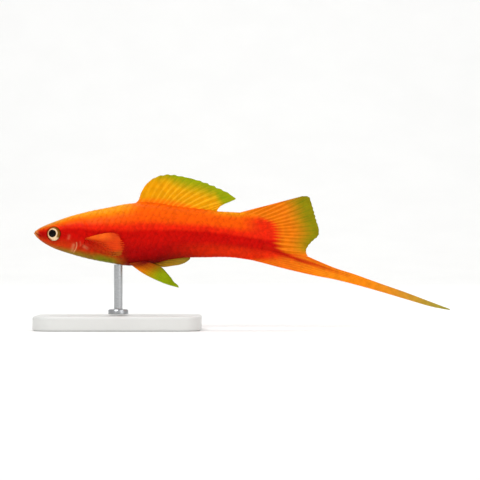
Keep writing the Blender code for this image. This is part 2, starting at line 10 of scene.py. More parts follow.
import bmesh
import bpy
import numpy as np
from bpy.props import FloatProperty, FloatVectorProperty, IntProperty, PointerProperty
from bpy.types import Operator, Panel, PropertyGroup
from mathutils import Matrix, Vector


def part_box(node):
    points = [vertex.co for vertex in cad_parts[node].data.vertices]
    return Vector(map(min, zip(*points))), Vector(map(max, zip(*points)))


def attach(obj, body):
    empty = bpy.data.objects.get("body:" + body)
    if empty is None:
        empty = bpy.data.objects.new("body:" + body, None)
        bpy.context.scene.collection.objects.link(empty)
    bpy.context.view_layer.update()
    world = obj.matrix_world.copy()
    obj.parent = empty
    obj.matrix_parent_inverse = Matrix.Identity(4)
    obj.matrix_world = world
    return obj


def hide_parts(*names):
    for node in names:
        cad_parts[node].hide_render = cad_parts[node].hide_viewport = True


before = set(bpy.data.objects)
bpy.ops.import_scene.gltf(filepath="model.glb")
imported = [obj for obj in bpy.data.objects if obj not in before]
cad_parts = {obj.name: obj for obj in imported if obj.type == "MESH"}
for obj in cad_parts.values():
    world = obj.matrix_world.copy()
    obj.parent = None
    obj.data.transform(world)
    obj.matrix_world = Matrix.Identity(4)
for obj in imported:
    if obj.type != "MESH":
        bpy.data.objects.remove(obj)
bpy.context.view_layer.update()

bl_info = {
    "name": "Swordtail display model",
    "version": (1, 0, 0),
    "blender": (4, 5, 0),
    "location": "3D View > Sidebar > Swordtail",
    "description": "Skin, scales, fins, eyes and stand of a life-size red swordtail",
    "category": "Object",
}

MM = 0.001
BODY = "root"
SIDES = (("left", -1), ("right", 1))

# Whole fish, placed by the sword's tip in the frame
LENGTH = 115.0
TIP_DROP = 21.3
SNOUT_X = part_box("sword")[1].x / MM - LENGTH
AXIS_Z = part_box("sword")[0].z / MM + TIP_DROP

# Body sections: distance from the snout, height of the back over the axis, depth of the belly under it,
# half width, level of the widest point from belly (0) to back (1), fullness above it, fullness below it
SECTIONS = (
    (0.00, 0.00, 0.00, 0.05, 0.50, 2.2, 2.1),
    (0.97, 1.10, 1.45, 1.25, 0.50, 2.5, 2.1),
    (2.65, 2.00, 2.75, 1.95, 0.52, 2.7, 2.1),
    (5.40, 3.10, 4.20, 2.75, 0.52, 2.7, 2.1),
    (9.80, 4.65, 5.70, 3.70, 0.50, 2.5, 2.1),
    (15.40, 6.10, 7.20, 4.45, 0.50, 2.3, 2.1),
    (20.90, 7.20, 8.25, 4.75, 0.51, 2.2, 2.1),
    (26.40, 8.20, 9.00, 4.65, 0.52, 2.1, 2.0),
    (33.40, 8.15, 8.10, 4.05, 0.52, 2.1, 2.0),
    (40.30, 7.05, 6.90, 3.40, 0.51, 2.1, 2.0),
    (47.20, 6.25, 6.70, 2.75, 0.50, 2.1, 2.0),
    (55.50, 5.80, 6.80, 1.85, 0.49, 2.1, 2.0),
    (60.00, 5.55, 7.45, 1.30, 0.49, 2.1, 2.0),
    (64.50, 5.30, 8.00, 0.80, 0.49, 2.1, 2.0),
)
GILL_EDGE = (12.3, 14.5, 9.3)  # distance from the snout at the back, at mid height and at the belly
TAIL_END = (57.9, 63.6, 59.8)
TAIL_TAPER = 5.0  # length over which the flesh thins out on the tail's rays
TAIL_THIN = 0.26  # half its thickness at the end
RED_LINE = (
    # where orange turns to red: distance from the snout and level between belly (0) and back (1)
    (0.0, 0.73), (3.0, 0.72), (7.5, 0.73), (12.5, 0.73), (14.5, 0.68), (18.9, 0.64), (23.7, 0.613),
    (36.4, 0.605), (48.0, 0.605), (52.0, 0.57), (56.0, 0.535), (60.0, 0.51),
)
BODY_STATIONS = 420
BODY_WAYS = 128
HEAD_RINGS = 150
TRUNK_RINGS = 210
GILL_STEP = 0.07  # from the gill cover's edge to the first ring behind it
SKIN_WAVES = 0.012  # height of the skin's faint unevenness

# Head
EYE_AT = (5.52, -0.22)
EYE_STANDS_OUT = 0.55
EYE_DOME = 1.05  # height of the dome over its rim
EYE_DOME_POWER = 0.85
EYE_BACK = 0.45  # depth of the rear face, as a share of the dome's height
PUPIL_TALL = 0.96
PUPIL_AT = (-0.09, 0.05)  # how far behind and over the middle it lies, as shares of the eye's radius
PUPIL_EGG = 0.07  # how far its end stands out, as a share of its radius
PUPIL_EGG_TURN = 2.6  # where that end lies, turned upwards from the rear
SOCKET_DEPTH = 1.1
ORBIT_RISE = 0.17
ORBIT_FOLD = 0.05
MOUTH_FRONT = (0.0, 0.35)
MOUTH_CORNER = (1.75, -0.95)
LIP_HEIGHT = 0.17
LIP_OFFSET = 0.3
LIP_WIDTH = 0.19
LIP_FOLD = 0.07
MOUTH_DEPTH = 0.42
MOUTH_WIDTH = 0.085
NOSTRILS = ((2.75, 1.05, 0.18), (3.25, 1.72, 0.13))  # distance from the snout, height and radius
NOSTRIL_DEPTH = 0.34
NOSTRIL_RIM = 0.07
GILL_FLARE = 0.3
GILL_FLARE_SPAN = (0.72, 0.98)
GILL_GROOVE = 0.16
CREASES = (
    # a curve on the cheek as (x, z) points, the crease's depth and its width
    (((8.0, 2.6), (8.9, 1.3), (9.4, -0.6), (9.1, -2.4), (7.9, -3.7), (6.0, -4.2)), 0.13, 0.22),
    (((14.3, -1.6), (12.9, -2.2), (11.8, -3.2), (11.0, -4.6)), 0.07, 0.14),
    (((11.9, -2.6), (11.8, -3.6), (11.2, -4.8), (10.4, -5.8)), 0.10, 0.14),
    (((10.7, -3.6), (10.6, -4.4), (10.0, -5.2), (9.0, -5.4)), 0.06, 0.13),
    (((1.85, -0.85), (2.25, -1.35), (2.0, -2.0), (1.4, -2.2)), 0.09, 0.12),
    (((2.3, -1.9), (3.6, -3.1), (5.2, -3.9), (7.2, -4.8)), 0.05, 0.13),
    (((2.9, -1.0), (3.2, -1.9), (4.2, -2.7), (5.6, -2.9), (6.9, -2.2)), 0.05, 0.16),
)
GLEAMS = (
    # a pale mark on the head, painted highlight partly over the gill cover's own silvery edges: a curve as
    # (x, z) points, its width and its strength
    # the first is a painted highlight on the cheek
    (((9.85, -0.75), (9.75, -1.1), (9.65, -1.45)), 0.38, 0.13),
    (((11.9, -2.6), (11.95, -3.4), (11.6, -4.4), (10.9, -5.4)), 0.13, 0.60),
    (((11.1, -3.3), (10.8, -4.1), (10.6, -4.9)), 0.45, 0.26),
    (((13.9, -3.6), (14.3, -3.9), (14.7, -4.15)), 0.45, 0.20),
    (((12.9, -2.4), (13.0, -3.0), (12.9, -3.5)), 0.20, 0.10),
    (((0.3, -0.55), (1.1, -1.55), (2.3, -2.35), (4.2, -3.35), (6.4, -4.25)), 0.17, 0.07),
)

# Scales
SCALES_FROM = 6.0  # distance of the first ones from the snout
CROWN_WAY = 0.22  # the head's own scales reach this far round from the back
CROWN_FROM = 6.5
CROWN_LIFT = 0.55  # how high they stand, as a share of the others' height
CROWN_GAP = 1.6  # from them to the gill cover's edge
GILL_OVERLAP = 0.4  # how far ahead of the gill cover's edge the first scales behind it may begin
TAIL_SPARE = 1.6  # pitches left bare at the tail's end
SCALE_LENGTH = 1.75  # as a share of the pitch
ROW_OVERLAP = 1.02  # half width of a scale, as a share of its row
SCALE_ARCH = 0.35  # how far its sides bend down, as a share of its lift
SCALE_GRID = 9
SCALE_SHOULDER = 0.32  # share of its length at which a scale is widest
SCALE_SEAT = 0.05  # depth of its front end in the skin
SCALE_THICKNESS = 0.045
SCALE_PATCH = 0.003  # its size on the map

# Fins: outlines in the side view, as (x, z) points, with each root sunk into the flesh
DORSAL_FRONT = ((27.3, 7.9), (28.6, 8.9), (29.5, 11.2), (30.9, 13.5), (32.6, 15.0))
DORSAL_MARGIN = (
    (32.6, 15.0), (34.3, 15.8), (36.8, 16.25), (40.3, 15.85), (45.8, 14.5), (51.3, 12.3), (54.0, 10.95),
    (55.3, 9.98), (55.75, 9.62), (55.84, 9.46), (55.68, 9.34), (55.2, 9.12), (53.5, 8.42), (52.2, 7.85),
    (51.2, 7.15), (50.6, 6.3),
)
DORSAL_REAR = ((50.0, 5.4), (50.35, 5.85), (50.6, 6.3))
DORSAL_ROOT = ((27.3, 7.9), (36.0, 7.3), (43.0, 6.1), (50.0, 5.4))
DORSAL_GATHER = 0.04
DORSAL_LEAD = 0.045  # how far the middle rays' roots lie ahead, as a share of the root
DORSAL_BOW = 0.55
DORSAL_GREEN = (
    # the middle of the change from gold to the green margin
    (33.0, 16.5), (34.5, 16.1), (36.5, 16.1), (38.5, 14.9), (42.2, 13.4), (44.7, 12.85), (46.8, 12.3),
    (48.4, 11.6), (50.0, 11.2), (51.2, 9.5), (52.2, 8.3), (53.5, 6.8),
)
DORSAL_FLESH = (27.0, 51.5)  # the stretch of the back that rises towards the fin
DORSAL_FLESH_RISE = 0.3

FAN_TOP = ((55.4, 5.35), (59.0, 6.3), (66.0, 8.12), (74.1, 10.25))
FAN_MARGIN = (
    (74.1, 10.25), (75.0, 10.26), (75.85, 10.15), (76.2, 9.8), (76.4, 9.2), (77.15, 6.75), (78.05, 3.4),
    (78.75, 0.9), (78.65, -0.5), (77.0, -2.15), (75.8, -3.5), (75.25, -4.6), (75.3, -5.6), (75.7, -6.3),
)
FAN_LOW = ((60.8, -4.4), (63.75, -4.9), (69.6, -5.95), (75.7, -6.4))
FAN_ROOT = ((55.4, 5.35), (58.8, 3.3), (60.9, 0.0), (60.8, -4.4))
FAN_GATHER = 0.09  # how much closer the rays' roots lie at the middle than at the ends
FAN_SLANT = 0.19  # how far the upper rays lean, so that the shortest end on the upper edge
FAN_OLIVE = (
    # where the olive margin begins to show
    (71.0, 9.8), (70.1, 8.8), (71.3, 7.2), (71.95, 4.5), (73.1, 2.1), (73.7, -0.3), (72.7, -2.4),
    (73.0, -5.0),
)
TAIL_FLESH = (
    (57.5, 5.9), (60.4, 5.3), (63.4, 4.2), (66.1, 2.7), (67.0, 0.9), (67.2, -1.2), (67.0, -3.0), (67.8, -4.6),
)
TAIL_LINE = (
    (60.0, -1.6), (62.5, -3.1), (64.6, -4.1), (66.8, -5.05), (69.9, -6.2), (73.6, -7.55), (78.9, -9.1),
    (83.0, -10.5), (88.0, -12.2),
)

SWORD_UPPER = (
    (61.6, -4.3), (63.65, -4.6), (69.6, -5.6), (75.3, -6.3), (77.6, -7.3), (79.6, -8.15), (82.6, -9.4),
    (88.7, -11.4), (94.8, -13.6), (102.8, -16.4), (111.0, -19.5), (115.0, -21.0),
)
SWORD_LOWER = (
    (57.6, -7.1), (59.9, -7.45), (62.2, -8.0), (67.5, -9.4), (72.8, -10.7), (77.7, -11.8), (82.5, -12.7),
    (88.6, -14.2), (94.7, -15.9), (102.8, -18.3), (111.0, -20.6), (114.9, -21.3),
)
SWORD_ROOT = ((61.6, -4.3), (60.4, -5.8), (57.6, -7.1))

PECTORAL_UPPER = ((14.4, -1.35), (17.8, -0.45), (21.2, 0.1), (23.1, 0.0))
PECTORAL_MARGIN = ((23.1, 0.0), (24.3, -1.3), (25.0, -2.9), (25.1, -4.6), (24.5, -6.3))
PECTORAL_LOWER = ((14.5, -3.0), (18.1, -4.9), (21.3, -6.2), (24.5, -6.3))
PECTORAL_ROOT = ((14.4, -1.35), (14.3, -2.2), (14.5, -3.0))
PECTORAL_RAYS = 12
PECTORAL_FORKS = (0.4, 0.7)
PECTORAL_SEED = 11
PECTORAL_SPLAY = 0.22
PECTORAL_CUP = 0.3
PECTORAL_SEAT = 0.32  # from the flank to the fin's root
PECTORAL_FLESH = (14.9, -2.2)  # the small swelling of the flank at the fin's root
ANAL_FLESH = 33.2  # distance of the gonopodium's swelling from the snout
FLESH_RISE = 0.22

PELVIC_OFFSET = 1.75
PELVIC_SPLAY = 0.18
PELVIC_SPLAY_FROM = -8.9
PELVIC_FRONT = ((26.2, -8.3), (30.2, -11.15), (32.8, -12.5), (36.5, -14.05), (40.1, -15.1))
PELVIC_MARGIN = ((40.1, -15.1), (39.6, -14.4), (38.6, -13.6), (37.8, -12.4))
PELVIC_REAR = ((30.8, -7.6), (33.4, -8.7), (35.3, -9.6), (36.5, -10.9), (37.8, -12.4))
PELVIC_ROOT = ((26.2, -8.3), (28.5, -8.0), (30.8, -7.6))

GONOPODIUM_LOWER = ((31.6, -7.9), (35.0, -9.35), (38.3, -9.05), (40.7, -8.6), (42.2, -7.9), (43.1, -7.15))
GONOPODIUM_UPPER = ((35.6, -6.9), (38.0, -6.95), (40.6, -6.65), (43.1, -6.75))
GONOPODIUM_ROOT = ((31.6, -7.9), (33.5, -7.4), (35.6, -6.9))

# Stand, which keeps the sizes of its solids
PLATE_CORNER = 6.0
PLATE_BEVEL = 0.7
ROD_RADIUS = 1.2
COLLAR_HEIGHT = 1.4
COLLAR_CHAMFER = 0.4
ROD_TIP = 1.6  # length of the rod's last ring
SHARP_ANGLE = 35.0

# Camera: the photograph's square frame is 132.85 mm wide at the fish
VIEW_WIDTH = 132.85
VIEW_CENTRE = (-0.62, 24.8)
SENSOR = 36.0

# Stage in metres: a floor that bends up into a wall behind, and the lamps
FLOOR_FRONT = -1.1
FLOOR_REAR = 1.2
FLOOR_HALF_WIDTH = 1.3
WALL_TOP = 1.6
WALL_BEND = 0.5
SKY_LIGHT = 0.5  # strength of the white surroundings as a light
SKY_SEEN = 0.97  # their strength as the camera sees them
FISH_MIDDLE = (0.0, 0.0, 0.025)
LAMPS = (
    # name, place, the point it shines at, power in watts and width
    ("key", (-0.30, -0.55, 0.50), FISH_MIDDLE, 2.2, 0.35),
    ("fill", (0.45, -0.50, 0.25), FISH_MIDDLE, 0.8, 0.45),
    ("top", (0.05, 0.10, 0.60), FISH_MIDDLE, 0.9, 0.50),
    ("wall", (0.0, 0.35, 0.95), (0.0, 1.15, 0.15), 6.0, 0.9),
)

# Pigments of the fish and the painted highlight on its head: the name of each one in the shader group and in
# the panel's colours
PIGMENTS = {
    "Ridge": "ridge", "Back": "back", "Band": "band", "Flank": "flank", "Lower": "lower", "Belly": "belly",
    "Jaw": "jaw", "Throat": "throat", "Moss": "moss", "Tail root": "tail_root", "Lips": "lip",
    "Gleam": "gleam",
}
MARKINGS = (
    # a pigment and its steps: a mark, two of its values and the pigment's strengths there, if not 0 and 1
    ("Lower", ("level", 0.02, 0.16)),
    ("Flank", ("level", 0.18, 0.38)),
    ("Band", ("level", 0.51, 0.59)),
    ("Back", ("level", 0.60, 0.76)),
    ("Ridge", ("level", 0.74, 1.0), ("along", 24.0, 30.0, 1.0, 0.12)),
    ("Ridge", ("level", 0.88, 1.0), ("along", 46.0, 54.0), ("along", 54.0, 60.0, 1.0, 0.4)),
    ("Tail root", ("along", 33.0, 56.0, 0.0, 0.9), ("level", 0.16, 0.38, 1.0, 0.0)),
    ("Band", ("along", 56.0, 63.0, 0.0, 0.9), ("level", 0.50, 0.62), ("level", 0.84, 1.0, 1.0, 0.0)),
    ("Jaw", ("along", 7.0, 13.0, 1.0, 0.5), ("along", 22.0, 27.0, 1.0, 0.0), ("level", 0.14, 0.38, 1.0, 0.0)),
    ("Throat", ("level", 0.02, 0.17, 1.0, 0.0), ("along", 2.0, 10.0, 0.3, 1.0),
     ("along", 21.0, 26.5, 1.0, 0.0)),
    ("Moss", ("level", 0.02, 0.17, 1.0, 0.0), ("along", 2.0, 10.0, 0.3, 1.0), ("along", 21.0, 26.5, 1.0, 0.0),
     ("along", 15.5, 18.5), ("along", 20.5, 23.5, 1.0, 0.0)),
    ("Lips", ("along", 2.0, 9.0, 0.8, 0.0), ("level", 0.80, 0.94)),
    ("Lips", ("along", 0.3, 1.7, 0.9, 0.0)),
)

FIN_PAINTS = {
    # colours of a fin's root, web, rays and edge, and of its flesh where it doesn't carry on the body's
    "Dorsal fin": ("back", "web", "ray", "lime", "fin_base"),
    "Tail fan": ("fan_web", "fan_web", "fan_ray", "olive"),
    "Sword": ("sword", "sword", "ray", "sword_tip"),
    "Pectoral fin": ("flank", "jaw", "clear_web", "clear_low", "clear_web"),
    "Pelvic fin": ("fin_base", "fan_web", "ray", "lime", "belly"),
    "Gonopodium": ("throat", "throat", "web", "sword_tip", "belly"),
}

# Gloss of the materials, as the shader's constants
SKIN_GLOSS = {"Specular IOR Level": 0.02, "Coat Weight": 0.02, "Coat Roughness": 0.20}
FIN_GLOSS = {"Specular IOR Level": 0.03, "Coat Weight": 0.03, "Coat Roughness": 0.2}
EYE_GLOSS = {"Specular IOR Level": 0.05, "Coat Weight": 0.14, "Coat Roughness": 0.03, "Coat IOR": 1.38}
PLATE_GLOSS = {"Coat Weight": 0.15, "Coat Roughness": 0.3}
PAPER_GLOSS = {"Roughness": 0.9, "Specular IOR Level": 0.1}
NOISE_LOW = 0.3  # a noise texture's values lie mostly between these
NOISE_HIGH = 0.7


def tint(code):
    """A linear colour from a six-figure web colour."""
    parts = [int(code[i:i + 2], 16) / 255 for i in (0, 2, 4)]
    return tuple(part / 12.92 if part <= 0.04045 else ((part + 0.055) / 1.055) ** 2.4 for part in parts)


def colour(name, description, code):
    return FloatVectorProperty(
        name=name, description=description, subtype="COLOR", size=3, min=0.0, max=1.0, default=tint(code)
    )


def size(name, description, millimetres):
    return FloatProperty(
        name=name, description=description, default=millimetres * MM, min=0.0, unit="LENGTH", precision=5
    )


class SwordtailSizes(PropertyGroup):
    """Sizes of the fine forms that the solids leave out."""

    eye_radius: size("Eye radius", "Radius of the visible eye", 1.96)
    pupil_radius: size("Pupil radius", "Radius of the black pupil", 1.07)
    scale_pitch: size("Scale pitch", "Distance between scales along a row", 1.62)
    scale_lift: size("Scale lift", "Height of a scale's free edge over the skin", 0.06)
    scale_rows: IntProperty(
        name="Scale rows", description="Rows of scales on each side, back to belly", default=11, min=6, max=16
    )
    membrane: size("Fin web", "Thickness of the web between the rays at a fin's margin", 0.14)
    ray_rise: size("Ray height", "Height of a ray over the web on each face, near the root", 0.13)


class SwordtailColours(PropertyGroup):
    """Pigments of the fish and its stand."""

    ridge: colour("Ridge", "Edge of the back", "ec980e")
    back: colour("Back", "Upper side over the red band", "f65605")
    band: colour("Band", "Orange red between back and flank", "e8240a")
    flank: colour("Flank", "Red flank", "c60b04")
    lower: colour("Lower flank", "Deep red under the flank", "a40404")
    belly: colour("Belly", "Dark underside by the pelvic fins", "760805")
    jaw: colour("Jaw", "Orange red of the lower head", "d8380a")
    throat: colour("Throat", "Olive underside from chin to pectoral fins", "90701a")
    moss: colour("Moss", "Green patch under the pectoral fins", "7e7e0a")
    tail_root: colour("Tail root", "Bright red flesh over the tail's rays", "e22c06")
    lip: colour("Lips", "Pale orange lips", "e89048")
    # painted highlight on the head, partly over the gill cover's own silvery edges
    gleam: colour("Gleam", "Silvery marks on the gill cover", "f0b27e")
    fin_base: colour("Fin base", "Orange flesh at the dorsal fin's root", "f87a04")
    web: colour("Dorsal web", "Golden web of the dorsal fin", "e39600")
    ray: colour("Dorsal rays", "Lighter rays of the dorsal fin", "ffb81c")
    lime: colour("Dorsal edge", "Green margin of the dorsal fin", "889c06")
    fan_web: colour("Tail web", "Orange web of the tail fan", "dc6c00")
    fan_ray: colour("Tail rays", "Lighter rays of the tail fan", "fa8416")
    olive: colour("Fin edge", "Olive margins of the fins", "7c8206")
    clear_web: colour("Pectoral web", "Orange upper part of the pectoral fins", "f66818")
    clear_low: colour("Pectoral edge", "Brown lower part of the pectoral fins", "84480a")
    sword: colour("Sword", "Orange of the sword", "f4820e")
    sword_tip: colour("Sword tip", "Olive end of the sword", "9e9a3c")
    sword_line: colour("Sword line", "Dark red line along the sword", "bc1402")
    iris: colour("Iris", "Cream ring of the eye", "f8d8ae")
    iris_gold: colour("Iris rim", "Olive brown sector of the eye", "80500a")
    orbit: colour("Orbit", "Tan edge of the eye", "b0682c")
    plate: colour("Plate", "Satin white plate of the stand", "dcdcd9")
    steel: colour("Rod", "Brushed steel rod", "c4c6c8")


class SwordtailStage(PropertyGroup):
    """Backdrop, lamps and camera."""

    floor: colour("Floor", "Pale floor and backdrop", "f2f2f1")
    lamps: FloatProperty(name="Lamps", description="Factor on all the lamps", default=1.0, min=0.0)
    lens: FloatProperty(name="Lens", description="Focal length in millimetres", default=180.0, min=20.0)


def ease(low, high, x):
    """Rises smoothly from 0 at low to 1 at high."""
    s = np.clip((x - low) / (high - low), 0, 1)
    return s * s * (3 - 2 * s)


def hump(distance, width):
    return np.exp(-((distance / width) ** 2))


def unit(vectors):
    return vectors / np.maximum(np.linalg.norm(vectors, axis=-1, keepdims=True), 1e-9)


def between(x, xs, values):
    """A smooth curve through the values at xs, read at x."""
    xs = np.asarray(xs, float)
    values = np.asarray(values, float)
    slopes = np.gradient(values, xs)
    i = np.clip(np.searchsorted(xs, x, side="right") - 1, 0, len(xs) - 2)
    step = xs[i + 1] - xs[i]
    s = (x - xs[i]) / step
    start = (2 * s**3 - 3 * s**2 + 1) * values[i] + (s**3 - 2 * s**2 + s) * step * slopes[i]
    return start + (3 * s**2 - 2 * s**3) * values[i + 1] + (s**3 - s**2) * step * slopes[i + 1]


def section(x):
    """Back, belly, half width, widest level and both fullnesses of the body at x."""
    columns = np.array(SECTIONS).T
    knots = np.sqrt(columns[0])
    root = np.sqrt(np.maximum(x, 0.0))
    back, belly, half, level, upper, lower = (between(root, knots, column) for column in columns[1:])
    return back, belly, half, level * (back + belly) - belly, upper, lower


def body_point(x, t):
    """The plain body's surface at x, at angle t from the back (0) over the flank to the belly (pi)."""
    back, belly, half, level, upper, lower = section(x)
    c, s = np.cos(t), np.sin(t)
    power = 2 / np.where(c >= 0, upper, lower)
    rise = np.where(c >= 0, back - level, belly + level)
    return half * np.abs(s) ** power, level + rise * np.sign(c) * np.abs(c) ** power


def flank(x, z):
    """Half width of the body at x and z."""
    back, belly, half, level, upper, lower = section(x)
    above = z >= level
    reach = np.where(above, back - level, belly + level)
    power = np.where(above, upper, lower)
    part = np.clip(np.abs(z - level) / reach, 0, 1)
    return half * (1 - part**power) ** (1 / power)


def parting(line, t):
    """Where a curved line round the body lies at angle t."""
    back, middle, belly = line
    end = np.where(np.cos(t) >= 0, back, belly)
    return middle + (end - middle) * np.cos(t) ** 2


def arc_table():
    """The angle at each share of the way round, for stations spaced by the square root of x."""
    angles = np.linspace(0, np.pi, 721)
    shares = np.linspace(0, 1, BODY_WAYS + 1)
    table = []
    for root in np.linspace(0, np.sqrt(SECTIONS[-1][0]), BODY_STATIONS + 1):
        y, z = body_point(root**2, angles)
        along = np.concatenate([[0], np.cumsum(np.hypot(np.diff(y), np.diff(z)))])
        table.append(np.interp(shares, along / along[-1], angles))
    return np.array(table)


ARCS = arc_table()


def angle_at(x, way):
    """The angle t at a share of the way round the body from back (0) to belly (1)."""
    i = np.sqrt(np.clip(x, 0, SECTIONS[-1][0]) / SECTIONS[-1][0]) * BODY_STATIONS
    j = np.clip(way, 0, 1) * BODY_WAYS
    i0 = np.minimum(i.astype(int), BODY_STATIONS - 1)
    j0 = np.minimum(j.astype(int), BODY_WAYS - 1)
    p, q = i - i0, j - j0
    near = ARCS[i0, j0] * (1 - q) + ARCS[i0, j0 + 1] * q
    far = ARCS[i0 + 1, j0] * (1 - q) + ARCS[i0 + 1, j0 + 1] * q
    return near * (1 - p) + far * p


def plain_skin(x, way):
    """Points of the plain body and their angles. way runs from the back (0) over the right flank to the belly
    (1) and on over the left flank to the back (2)."""
    way = np.mod(way, 2)
    t = angle_at(x, 1 - np.abs(1 - way))
    y, z = body_point(x, t)
    thin = ease(0, TAIL_TAPER, parting(TAIL_END, t) - x)
    y = np.minimum(y, TAIL_THIN) + (y - np.minimum(y, TAIL_THIN)) * np.sqrt(thin)
    return np.stack((x, np.where(way <= 1, y, -y), z), axis=-1), t


def outward(x, way):
    """Unit normals of the plain body."""
    dx, dway = 0.02, 0.002
    along = plain_skin(x + dx, way)[0] - plain_skin(np.maximum(x - dx, 0), way)[0]
    round_it = plain_skin(x, way + dway)[0] - plain_skin(x, way - dway)[0]
    normal = unit(np.cross(along, round_it))
    return normal * np.sign(normal[..., 1:2] * np.where(np.mod(way, 2) <= 1, 1, -1)[..., None] + 1e-9)


def through(points):
    """A smooth curve through the points, as a function of the share of its length."""
    points = np.array(points, float)
    along = np.concatenate([[0], np.cumsum(np.hypot(*np.diff(points, axis=0).T))])
    along = along / along[-1]
    return lambda u: np.stack([between(u, along, points[:, i]) for i in (0, 1)], axis=-1)


def off_curve(x, z, points):
    """Distance from a curve drawn on the side view."""
    line = through(points)(np.linspace(0, 1, 60))
    gaps = [np.hypot(x - place[0], z - place[1]) for place in line]
    return np.min(gaps, axis=0)


def mouth_relief(x, z):
    """Lips on both sides of the mouth's slit, fading out at its corner."""
    front, corner = np.array(MOUTH_FRONT), np.array(MOUTH_CORNER)
    length = np.hypot(*(corner - front))
    along = (corner - front) / length
    share = ((x - front[0]) * along[0] + (z - front[1]) * along[1]) / length
    off = (z - front[1]) * along[0] - (x - front[0]) * along[1]
    inside = 1 - ease(0.86, 1.12, share)
    out = LIP_HEIGHT * hump(np.abs(off) - LIP_OFFSET, LIP_WIDTH) * (1 - 0.45 * np.clip(share, 0, 1))
    out = out - MOUTH_DEPTH * hump(off, MOUTH_WIDTH)
    out = out - LIP_FOLD * hump(np.abs(off) - 2.5 * LIP_OFFSET, 0.12)
    return out * inside


def head_relief(x, z, eye_radius):
    """Mouth, creases, nostrils and the eye's socket with the rim and the fold round it."""
    out = mouth_relief(x, z)
    for line, depth, width in CREASES:
        out = out - depth * hump(off_curve(x, z, line), width)
    for nostril_x, nostril_z, radius in NOSTRILS:
        gap = np.hypot(x - nostril_x, z - nostril_z)
        out = out + NOSTRIL_RIM * hump(gap - radius - 0.08, 0.08)
        out = out - NOSTRIL_DEPTH * (1 - ease(0.55 * radius, radius, gap))
    gap = np.hypot(x - EYE_AT[0], z - EYE_AT[1]) - eye_radius
    out = out - SOCKET_DEPTH * (1 - ease(-0.16, 0.06, gap)) + ORBIT_RISE * hump(gap - 0.2, 0.17)
    return out - ORBIT_FOLD * hump(gap - 0.65, 0.2)


def fin_flesh(points, t):
    """How far the flesh rises to the roots of the dorsal fin, the pectoral fins and the gonopodium."""
    x, y, z = points[..., 0], points[..., 1], points[..., 2]
    start, end = DORSAL_FLESH
    along_fin = ease(start, start + 3, x) * (1 - ease(end - 4, end, x))
    dorsal = np.where(t < 1.2, DORSAL_FLESH_RISE * along_fin * hump(y, 0.75), 0)
    base_x, base_z = PECTORAL_FLESH
    pectoral = FLESH_RISE * hump(np.hypot(x - base_x, z - base_z), 0.95) * (x > parting(GILL_EDGE, t))
    anal = np.where(t > 2, FLESH_RISE * hump(y, 0.9) * hump(x - ANAL_FLESH, 2.4), 0)
    return dorsal, pectoral, anal


def relief(points, t, eye_radius):
    """Height of the finished skin over the plain body."""
    x, z = points[..., 0], points[..., 2]
    sideways = np.sin(t)
    gill = parting(GILL_EDGE, t)
    behind = x - gill
    out = np.where(behind < 1e-6, GILL_FLARE * ease(*GILL_FLARE_SPAN, x / gill) * sideways**2, 0)
    out = np.where(behind > 1e-6, out - GILL_GROOVE * hump(behind, 0.5) * sideways, out)
    head = x < GILL_EDGE[1] + 1
    out[head] += head_relief(x[head], z[head], eye_radius) * ease(0.2, 0.55, sideways[head])
    for rise in fin_flesh(points, t):
        out = out + rise
    return out + SKIN_WAVES * np.sin(1.3 * x + 2 * t) * np.sin(0.7 * x - 5 * t) * sideways


def skin_at(x, way, eye_radius, lift=0.0):
    """Points of the finished skin, raised by lift."""
    points, t = plain_skin(x, way)
    return points + outward(x, way) * (relief(points, t, eye_radius) + lift)[..., None]


def level_of(points):
    """How far up the body each point lies: 0 at the belly, 0.6 where orange turns to red, 1 at the back."""
    x = np.clip(points[..., 0], 0, SECTIONS[-1][0])
    back, belly = section(x)[:2]
    level = (points[..., 2] + belly) / np.maximum(back + belly, 0.05)
    red = np.interp(x, *np.array(RED_LINE).T)
    return np.where(level < red, 0.6 * level / red, 0.6 + 0.4 * (level - red) / (1 - red))


def gleam_of(points):
    """How strongly the painted highlight on the head, partly over the gill cover's silvery edges, shows at
    each point.
    """
    x, z = points[..., 0], points[..., 2]
    marks = [strength * hump(off_curve(x, z, line), width) for line, width, strength in GLEAMS]
    return np.max(marks, axis=0)


def to_world(points):
    return (np.asarray(points, float) + (SNOUT_X, 0, AXIS_Z)) * MM


def add_object(name, data):
    made = bpy.data.objects.new(name, data)
    bpy.context.scene.collection.objects.link(made)
    return made


def dress(piece, slot, material, *nodes):
    """Gives a piece its material, hangs it on the fish's body and hides the solids that it stands for. slot
    is not used.
    """
    piece.data.materials.append(material)
    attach(piece, BODY)
    if nodes:
        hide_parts(*nodes)


def mesh_piece(name, points, faces, marks, unwrapped):
    """A piece from points in the fish's millimetres. marks are float attributes of its points, and unwrapped
    places each corner of its faces on the map."""
    mesh = bpy.data.meshes.new(name)
    mesh.from_pydata(to_world(points).tolist(), [], faces.tolist())
    for label, values in marks.items():
        attribute = mesh.attributes.new(label, "FLOAT", "POINT")
        attribute.data.foreach_set("value", np.ravel(values).astype(np.float32))
    layer = mesh.uv_layers.new(name="OFBake")
    layer.data.foreach_set("uv", np.ravel(unwrapped).astype(np.float32))
    mesh.shade_smooth()
    return add_object(name, mesh)


def facing_out(points, faces, unwrapped):
    """Turns a closed surface's faces over where they face inwards."""
    a, b, c, d = (points[faces[:, i]] for i in range(4))
    volume = np.einsum("ij,ij", a, np.cross(b, c)) + np.einsum("ij,ij", a, np.cross(c, d))
    if volume < 0:
        return faces[:, ::-1], unwrapped[:, ::-1]
    return faces, unwrapped


def both_faces(near, far, axis=1):
    """Values of a sheet's near face and, running back, of its far face, as one closed round."""
    return np.concatenate((near, np.flip(far, axis)), axis=axis)


